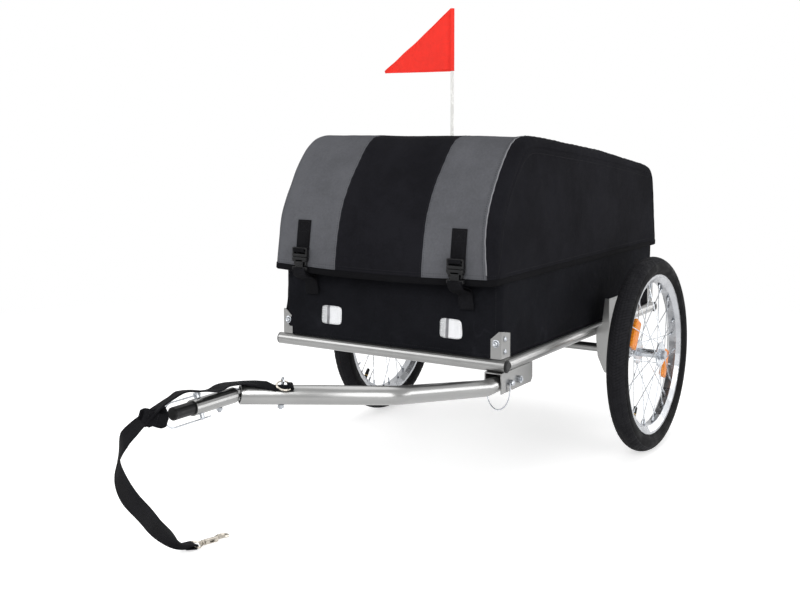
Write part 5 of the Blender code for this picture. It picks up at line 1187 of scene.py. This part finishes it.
def buckle(name, side):
    """A side-release buckle: plug above with two sprung arms, open-sided socket below."""
    x = side * BUCKLE_X
    back, front = BUCKLE_FACE_Y, BUCKLE_FACE_Y - BUCKLE_T
    half, middle = BUCKLE_W / 2, (front + back) / 2
    top, split, low = BUCKLE_TOP, BUCKLE_SPLIT, BUCKLE_BOTTOM

    def block(a, b, from_front, from_back, z0, z1, bevel):
        """A block from a to b across, set in from the buckle's front and back."""
        return soft_block((x + a, front + from_front, z0), (x + b, back - from_back, z1), bevel)

    def line(*spots):
        return smooth_curve([Vector((x + dx, y, z)) for dx, y, z in spots], CURVE_STEPS)

    plug = [block(*row) for row in (
        (-half, half, 0.0008, 0, split + 0.0006, split + 0.0066, 0.0014),
        (-half, -half + 0.0038, 0.0014, 0, split + 0.005, top, 0.0013),
        (half - 0.0038, half, 0.0014, 0, split + 0.005, top, 0.0013),
        (-half, half, 0.0010, 0, top - 0.0040, top, 0.0015),
        (-half + 0.001, half - 0.001, 0.0030, 0.001, top - 0.0092, top - 0.0068, 0.0009),
        (-0.0016, 0.0016, 0.0030, 0.0030, split - 0.0150, split + 0.003, 0.0008))]
    for way in (-1, 1):
        arm = line(*((way * out, middle, split + rise) for out, rise in BUCKLE_ARM))
        plug.append(tube(arm, 0.0021, BACK))
    rear = BUCKLE_T - 0.0024
    tab = BUCKLE_T - 0.0022
    socket = [block(*row) for row in (
        (-half + 0.0016, half - 0.0016, 0, rear, split - 0.0085, split, 0.0010),
        (-half + 0.0016, half - 0.0016, rear, 0, split - 0.0085, split, 0.0010),
        (-half, -half + 0.0026, 0.0006, 0.0006, split - 0.0060, split, 0.0010),
        (half - 0.0026, half, 0.0006, 0.0006, split - 0.0060, split, 0.0010),
        (-0.0088, 0.0088, 0, tab, low + 0.004, split - 0.004, 0.0009),
        (-0.0088, 0.0088, tab, 0, low + 0.004, split - 0.004, 0.0009),
        (-half, half, 0.0004, 0, low, low + 0.0068, 0.0018),
        (-0.0052, 0.0052, -0.0004, BUCKLE_T - 0.001, low + 0.0095, split - 0.0095, 0.0004))]
    for label, parts, body in (("plug", plug, "cover"), ("socket", socket, "chassis")):
        settle(f"buckle_{label}_body_{name}", joined(parts), black_plastic, body, "black_plastic",
               f"buckle_{label}_{name}")

    def on_hood(z):
        return cover_front_y(z) - HOOD_CLEAR - WEBBING_T / 2

    heights = [UPPER_STRAP_TOP - (UPPER_STRAP_TOP - top + 0.004) * k / 16 for k in range(17)]
    stations = [(Vector((x, on_hood(z), z)), AHEAD, WEBBING_W) for z in heights]
    stations += [(Vector((x, y, top - drop)), Vector((0, -1, 0.3)), WEBBING_W - 0.0045)
                 for y, drop in ((middle + 0.0018, 0.0062), (middle - 0.0012, 0.0100),
                                 (front - 0.0004, 0.0075), (front - 0.0009, 0.001))]
    band("upper_webbing_" + name, stations, WEBBING_T, "cover", "upper_strap_" + name)
    box_stitch("upper_webbing_stitches_" + name, "cover", x,
               lambda z: on_hood(z) - WEBBING_T / 2 - THREAD_CLEAR,
               UPPER_STRAP_TOP - 0.022, UPPER_STRAP_TOP - 0.003, 0.0115)

    wall = -TUB_FRONT - WALL_CLEAR
    run = line((0, middle, low + 0.0060), (0, middle - 0.0002, low + 0.0010),
               (0, middle + 0.0020, low - 0.0050), (0, wall - 0.0080, low - 0.0120),
               (0, wall - 0.0016, low - 0.0200), (0, wall, low - 0.0300),
               (0, wall, LOWER_STRAP_END))
    even_band("lower_webbing_" + name, run, AHEAD, WEBBING_W - 0.001, "chassis")
    tail = line((0.001, front - 0.0012, low + 0.0050), (0.001, front - 0.0016, low - 0.0020),
                (0.002, front + 0.0060, low - 0.0120), (0.003, wall - 0.0110, low - 0.0210),
                (0.004, wall - 0.0052, low - 0.0340), (0.005, wall - 0.0040, low - 0.0490))
    even_band("lower_webbing_tail_" + name, tail, Vector((0, -1, 0.1)), WEBBING_W - 0.002,
              "chassis")
    box_stitch("lower_webbing_stitches_" + name, "chassis", x,
               lambda z: wall - WEBBING_T / 2 - THREAD_CLEAR,
               LOWER_STRAP_END + 0.001, LOWER_STRAP_END + 0.012, 0.0095)


# Wheels, each piece made round the wheel's own middle with its outer side at +X

def settle_on_wheel(name, bm, finish, wheel, slot, replaces=""):
    if wheel == "right":
        bmesh.ops.scale(bm, vec=(-1, 1, 1), verts=bm.verts)
    bmesh.ops.translate(bm, vec=WHEELS[wheel] - SHIFT, verts=bm.verts)
    settle(name, bm, finish, "wheel_" + wheel, slot, replaces)


def tyre_section():
    """(x, radius, distance over the tread) points from bead to bead, with the tread's grooves."""
    belly = BEAD_R + (TYRE_R - BEAD_R) * 0.44
    reach = TYRE_R - 0.0002 - belly
    foot = [(BEAD_HALF_W, BEAD_R, 0.040), (BEAD_HALF_W + 0.0012, BEAD_R + 0.003, 0.037)]
    points = [(-x, radius, -over) for x, radius, over in foot]
    for k in range(TYRE_STEPS + 1):
        angle = -0.34 + (math.pi + 0.68) * k / TYRE_STEPS
        over = (angle - math.pi / 2) * TYRE_HALF_W
        drop = 0.0009 if abs(over) > 0.0225 else 0.0
        for at, half in ((0.0105, 0.0009), (0.0036, 0.0008)):
            drop += 0.0013 * hill(abs(over) - at, half, 4)
        points.append((-TYRE_HALF_W * math.cos(angle) * (1 - drop * 6),
                       belly + reach * math.sin(angle) - drop * max(0.0, math.sin(angle)), over))
    return points + foot[::-1]


def tyre():
    """The tyre with its tread cut into knobs that are staggered from row to row."""
    section = tyre_section()
    turns = TREAD_KNOBS * KNOB_STEPS

    def spot(k, c):
        x, radius, over = section[c]
        slip = k + 2 * (abs(over) > 0.0105) + 3 * (over > 0)
        drop = KNOB_CUT if slip % KNOB_STEPS == 0 and 0.0040 < abs(over) < 0.0235 else 0.0
        angle = TURN * k / turns
        return (around(BACK, UP, angle) * (radius - drop) + Vector((x * (1 - drop * 4), 0, 0)),
                Vector((angle * TYRE_R, over, 0)))

    return skin(*cloth_rows(turns, len(section) - 1, spot))


def spoke_nipples():
    """The nipple that holds each spoke in the rim."""
    parts = []
    pitch = TURN / SPOKES_PER_SIDE
    for flange in (-1, 1):
        for index in range(SPOKES_PER_SIDE):
            head_out = 1 if index % 2 else -1
            hub_angle = pitch * (index + 0.25) + (pitch / 2 if flange > 0 else 0)
            rim_angle = hub_angle + 2 * pitch * head_out
            x = flange * FLANGE_SPAN / 2 + head_out * flange * SPOKE_STAGGER
            start = around(BACK, UP, hub_angle) * SPOKE_CIRCLE_R + Vector((x, 0, 0))
            end = around(BACK, UP, rim_angle) * RIM_INNER_R + Vector((flange * 0.0025, 0, 0))
            parts.append(turned(NIPPLE, end - start, end, segments=8))
    return joined(parts)


def valve(profile):
    """A turned piece of the valve, which points in from the rim."""
    turn = Matrix.Rotation(math.radians(VALVE_ANGLE), 3, "X")
    return turned(profile, turn @ AHEAD, turn @ BACK * (RIM_INNER_R + VALVE_SEAT))


def reflector(angle):
    """An amber lens between the spokes: a rimmed plate with a raised field on both faces."""
    inner, outer = REFLECTOR_AT_R - REFLECTOR_W / 2, REFLECTOR_AT_R + REFLECTOR_W / 2
    half = REFLECTOR_L / 2
    bm = joined([soft_block((-0.0044, inner, -half), (0.0044, outer, half), 0.0030),
                 soft_block((-0.0054, inner + 0.003, -half + 0.004),
                            (0.0054, outer - 0.003, half - 0.004), 0.0014)])
    turn = Matrix.Rotation(math.radians(angle), 3, "X")
    bmesh.ops.rotate(bm, cent=(0, 0, 0), matrix=turn, verts=bm.verts)
    return bm


# Flag

def flag_line(share, lift):
    """Across the flag from the pole to the tip; it ripples more towards the tip."""
    x = POLE_X - POLE_R - 0.0004 - (FLAG_W - POLE_R) * share
    ripple = 0.0055 * math.sin(share * math.pi * 1.6) + 0.0016 * math.sin(share * 21 + lift * 3)
    return x, POLE_Y + ripple * share


def flag():
    top = POLE_TOP - 0.002
    low = top - FLAG_H
    columns, levels = 48, 24

    def spot(k, level):
        share, t = k / columns, level / levels
        z = low + (FLAG_H - (FLAG_H - FLAG_TIP_H) * share) * t
        x, y = flag_line(share, t)
        return (Vector((x, y + 0.0008 * wave(Vector((x, 0, z)), 0.05, 3.0), z)), Vector((x, z, 0)))

    rows, weave = cloth_rows(columns, levels, spot)
    bm = skin(rows, weave)
    area = round(area_of(bm), 5)
    piece = settle("flag_cloth", bm, red_nylon, *FLAG, "flag_pennant")
    thicken(piece, FLAG_T, offset=0.0)

    inner, outer = POLE_R + 0.0003, POLE_R + 0.0013
    sleeve = ((low, inner), (low, outer - 0.0002), (low + 0.003, outer),
              (top - 0.003, outer), (top, outer - 0.0002), (top, inner))
    bm = turned(sleeve, UP, Vector((POLE_X, POLE_Y, 0)), segments=28)
    settle("flag_sleeve", bm, red_nylon, *FLAG)

    seams = [([row[edge] + UP * lift for row in rows[1:-3]], FLAG_T)
             for edge, lift in ((0, 0.006), (-1, -0.006))]
    seams += [([Vector((POLE_X - POLE_R - t, POLE_Y, low + 0.004 + 0.004 * k))
                for k in range(36)], FLAG_T + 0.0001) for t in (0.006, 0.0085)]
    sewn = bmesh.new()
    for line, clear in seams:
        for face in (AHEAD, -AHEAD):
            stitches(sewn, [point + face * clear for point in line], face, FLAG_STITCH)
    settle("flag_stitches", sewn, red_nylon, *FLAG, smooth=False)
    for name, edge in (("lower", 0), ("upper", -1)):
        hem = tube([row[edge] for row in rows], 0.0010, BACK)
        settle("flag_hem_" + name, hem, red_nylon, *FLAG)


# Bolts on the frame

def domed_bolt(centre, axis, radius, height):
    """A washer under a low domed head with a round recess, as two turned forms."""
    washer = ((0.0, 0.0), (0.0, radius * 1.35), (0.0009, radius * 1.38), (0.0012, radius * 1.30),
              (0.0012, 0.0))
    head = ((0.0010, 0.0), (0.0010, radius), (height * 0.45, radius * 0.98),
            (height * 0.8, radius * 0.78), (height, radius * 0.48),
            (height - 0.0011, radius * 0.42), (height - 0.0012, 0.0))
    return [turned(washer, axis, centre), turned(head, axis, centre)]


def frame_bolts():
    """Domed bolts through the two faces of each corner bracket."""
    for place, toward in (("front", -1), ("rear", 1)):
        for name, side in SIDES:
            low, high = (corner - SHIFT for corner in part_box(f"corner_bracket_{place}_{name}"))
            outer = high.x if side > 0 else low.x
            head = (low.y if toward < 0 else high.y) - toward * 0.0034
            parts = domed_bolt(Vector((outer - side * 0.011, head, low.z + 0.0268)),
                               Vector((0, toward, 0)), 0.0052, 0.0058)
            for z in (0.012, 0.034):
                parts += domed_bolt(Vector((outer, head - toward * 0.013, low.z + z)),
                                    Vector((side, 0, 0)), 0.0034, 0.0030)
            settle(f"corner_bolts_{place}_{name}", joined(parts), zinc, "chassis", "zinc")


for wheel, side in SIDES:
    settle_on_wheel("tyre_carcass_" + wheel, tyre(), rubber, wheel, "tyre", "tyre_" + wheel)
    settle_on_wheel("spoke_nipples_" + wheel, spoke_nipples(), zinc, wheel, "zinc")
    for part, profile, finish, slot in (("stem", VALVE_STEM, rubber, "tyre"),
                                        ("collar", VALVE_COLLAR, brass, "zinc"),
                                        ("cap", VALVE_CAP, black_plastic, "black_plastic")):
        settle_on_wheel(f"valve_{part}_{wheel}", valve(profile), finish, wheel, slot)
    for place, turn_deg in zip(("front", "rear"), REFLECTOR_ANGLES):
        settle_on_wheel(f"reflector_lens_{wheel}_{place}", reflector(turn_deg), amber, wheel,
                        "amber", f"reflector_{wheel}_{place}")
    buckle(wheel, side)
hood()
tub()
flag()
frame_bolts()


# Safety strap

def ring_frame():
    """The ring's eye end, the way it leans from there, and the direction square to it."""
    side, up = cross_frame(BAR_AIM)
    lift = BAR_R + STRAP_T + RING_WIRE_R + 0.0006
    angle = math.asin(lift / EYE_HEIGHT)
    return (KNUCKLE - BAR_AIM * RING_BACK + up * EYE_HEIGHT, around(-up, side, angle),
            around(side, up, angle))


def fold_round(centre, wire, along, out, steps=8):
    """Half a turn round a wire, from its far side by way of `along`, as (point, face) pairs."""
    radius = wire + FOLD_GAP + STRAP_T / 2
    radials = [around(along, out, math.pi * (k / steps - 0.5)) for k in range(steps, -1, -1)]
    return [(centre + radial * radius, -radial) for radial in radials]


def strap_stations():
    """Middle, facing and width of the strap, from the ring to the fold round the hook's eye."""
    eye, lean, out = ring_frame()
    middle = eye + lean * (RING_R + 0.0020)
    lift = RING_WIRE_R + FOLD_GAP + STRAP_T / 2
    under = middle - out * lift
    stations = [(middle - BAR_AIM * 0.0045 + out * lift, -out, STRAP_END_W)]
    stations += [(point, face, STRAP_END_W) for point, face
                 in fold_round(middle - BAR_AIM * RING_R, RING_WIRE_R, -BAR_AIM, out)]
    stations.append((under, out, STRAP_END_W))
    stations.append((under + BAR_AIM * (RING_R + 0.003), out, STRAP_END_W))
    side, up = cross_frame(BAR_AIM)
    for back, turn_deg, width in ((0.040, 20.0, 0.019), (0.026, 6.0, STRAP_W),
                                  (0.012, 0.0, STRAP_W)):
        radial = around(up, side, math.radians(turn_deg))
        stations.append((KNUCKLE - BAR_AIM * back + radial * (BAR_R + STRAP_LIFT), radial, width))
    faces = [Vector(row[3:]) for row in STRAP_RUN]
    for k, point in enumerate(smooth_curve([Vector(row[:3]) for row in STRAP_RUN], CURVE_STEPS)):
        span, step = divmod(k, CURVE_STEPS)
        after = faces[min(span + 1, len(faces) - 1)]
        stations.append((point, faces[span].lerp(after, step / CURVE_STEPS), STRAP_W))
    turn = math.radians(HOOK_TURN)
    along = Vector((math.sin(turn), math.cos(turn), 0))
    stations += [(point, face, STRAP_W) for point, face
                 in fold_round(HOOK_AT, HOOK_WIRE_R, along, UP)]
    stations.append((HOOK_AT - along * 0.018 + UP * 0.0005, UP, STRAP_W))
    return stations


def bar_skin():
    """The bar's outer face, finely rounded, from the bracket's mouth to its open front end."""
    rear = Vector((BAR_X, -FIRST_BEND, BAR_Z))
    end = KNUCKLE - BAR_AIM * TUBE_END_GAP
    path = [Vector((BAR_X, -BAR_MOUTH, BAR_Z))]
    for before, bend, after, radius in ((path[0], rear, SECOND_BEND, 0.045),
                                        (rear, SECOND_BEND, end, 0.055)):
        back, ahead = (before - bend).normalized(), (after - bend).normalized()
        reach = radius / math.tan(back.angle(ahead) / 2)
        for k in range(BEND_STEPS + 1):
            t = k / BEND_STEPS
            path.append((bend + back * reach * (1 - t)).lerp(bend + ahead * reach * t, t))
    path.append(end)
    rows = []
    for point, along, side, up in carried(path):
        rings = [(BAR_R + 0.0002, 0.0)]
        if point is end:
            rings += [(BAR_R - 0.0002, 0.0004), (BAR_R - 0.0018, 0.0004)]
        rows += [[point + along * out + around(side, up, TURN * n / BAR_SIDES) * radius
                  for n in range(BAR_SIDES)] for radius, out in rings]
    settle("towbar_skin", skin(rows, ring=True), silver_paint, "towbar", "silver_paint")


def safety_strap():
    stations = strap_stations()
    piece = band("safety_strap_band", stations, STRAP_T, "towbar", "safety_strap")
    path = [point + SHIFT for point, face, width in stations]
    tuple(path[0])
    round(distances(path)[-1], 3)


def strap_keeper():
    """The strap's spare length, gathered in two flat loops that cross, and sewn together."""
    turn = math.radians(CAMERA_YAW)
    level = Vector((math.cos(turn), math.sin(turn), 0))
    away = Vector((-math.sin(turn), math.cos(turn), 0))
    sewn = bmesh.new()
    for n, (tilt, reach, width, near) in enumerate(KEEPER_LOOPS):
        lean = math.radians(tilt)
        across = around(level, UP, lean)
        stations = []
        for k in range(KEEPER_STEPS + 1):
            angle = -2.2 + TURN * 0.93 * k / KEEPER_STEPS
            c, d = math.cos(angle), math.sin(angle)
            place = (across * math.copysign(abs(c) ** 0.7, c) * reach - away * near
                     + away * math.copysign(abs(d) ** 0.7, d) * (0.0030 + 0.0006 * c))
            stations.append((KEEPER_AT + place, (across * c * 0.35 + away * d).normalized(),
                             width * (1 - 0.42 * abs(c) ** 5)))
        band(f"strap_loop_{n + 1}", stations, STRAP_T, "towbar")
        up = around(UP, -level, lean)
        for u in (-0.006, 0.006):
            foot = KEEPER_AT + across * u - away * (near + 0.0046)
            line = [foot + up * (width * 0.4 * (k / 4 - 1)) for k in range(9)]
            stitches(sewn, line, -away, FINE_STITCH)
    settle("strap_loop_stitches", sewn, thread, "towbar", "webbing", smooth=False)


bar_skin()
safety_strap()
strap_keeper()


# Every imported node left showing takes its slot's finish

def dress_nodes():
    slots = {entry["node"]: entry["material_slot"] for entry in frame["record"]["subparts"]}
    for name, node in frame["nodes"].items():
        finish = NODE_FINISHES.get(name) or SLOT_FINISHES.get(slots.get(name), silver_paint)
        if not node.material_slots:
            node.data.materials.append(finish)
        for holder in node.material_slots:
            holder.material = finish


dress_nodes()


# Floor, lamps and camera

def stage():
    bm = bmesh.new()
    bmesh.ops.create_grid(bm, x_segments=1, y_segments=1, size=30.0)
    floor = place_object("floor", mesh_from("floor", bm))
    finish = Finish("pale_floor", (0.82, 0.82, 0.82), 0.6)
    seen = finish.seen()
    finish.set(Emission_Color=WHITE, Emission_Strength=seen * FLOOR_LIGHT)
    away = finish.node("ShaderNodeVectorMath", {"operation": "DISTANCE"},
                       (finish.here(), (0.0, 0.1, 0.0)), "Value")
    white = finish.node("ShaderNodeEmission", {}, {"Color": WHITE})
    blend = finish.node("ShaderNodeMixShader", {}, (finish.level(away, 0.9, 2.3) * seen,
                                                    Shade(finish, finish.shader.outputs[0]), white))
    finish.give(finish.tree.nodes["Material Output"].inputs["Surface"], blend)
    floor.data.materials.append(finish.material)
    floor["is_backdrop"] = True

    world = bpy.data.worlds.new("pale_room")
    world.use_nodes = True
    room = Nodes(world.node_tree)
    background = room.tree.nodes["Background"]
    strength = room.node("ShaderNodeMapRange", {}, {"Value": room.seen(), "To Min": ROOM_LIGHT})
    room.give(background.inputs["Color"], WHITE)
    room.give(background.inputs["Strength"], strength)
    bpy.context.scene.world = world

    for name, place, aim, size, power in LAMPS:
        light = bpy.data.lights.new(name, "AREA")
        light.shape = "RECTANGLE"
        light.size, light.size_y = size
        light.energy = power
        lamp = place_object(name, light)
        lamp.location = Vector(place) + SHIFT
        lamp.rotation_euler = (Vector(aim) - Vector(place)).to_track_quat("-Z", "Y").to_euler()
        lamp.visible_camera = False


def camera():
    view = bpy.data.cameras.new("photo_view")
    view.sensor_width = SENSOR_MM
    view.lens = CAMERA_FOCUS_PX / PHOTO_W_PX * SENSOR_MM
    view.shift_y = -CAMERA_RISE_PX / PHOTO_W_PX
    holder = place_object("photo_view", view)
    holder.location = CAMERA_AT + SHIFT
    holder.rotation_euler = (math.radians(90 - CAMERA_PITCH), 0, math.radians(CAMERA_YAW))
    bpy.context.scene.camera = holder


stage()
camera()
bpy.context.scene.view_settings.view_transform = "Standard"

[[list(corner) for corner in pair] for pair in (cad_box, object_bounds())]
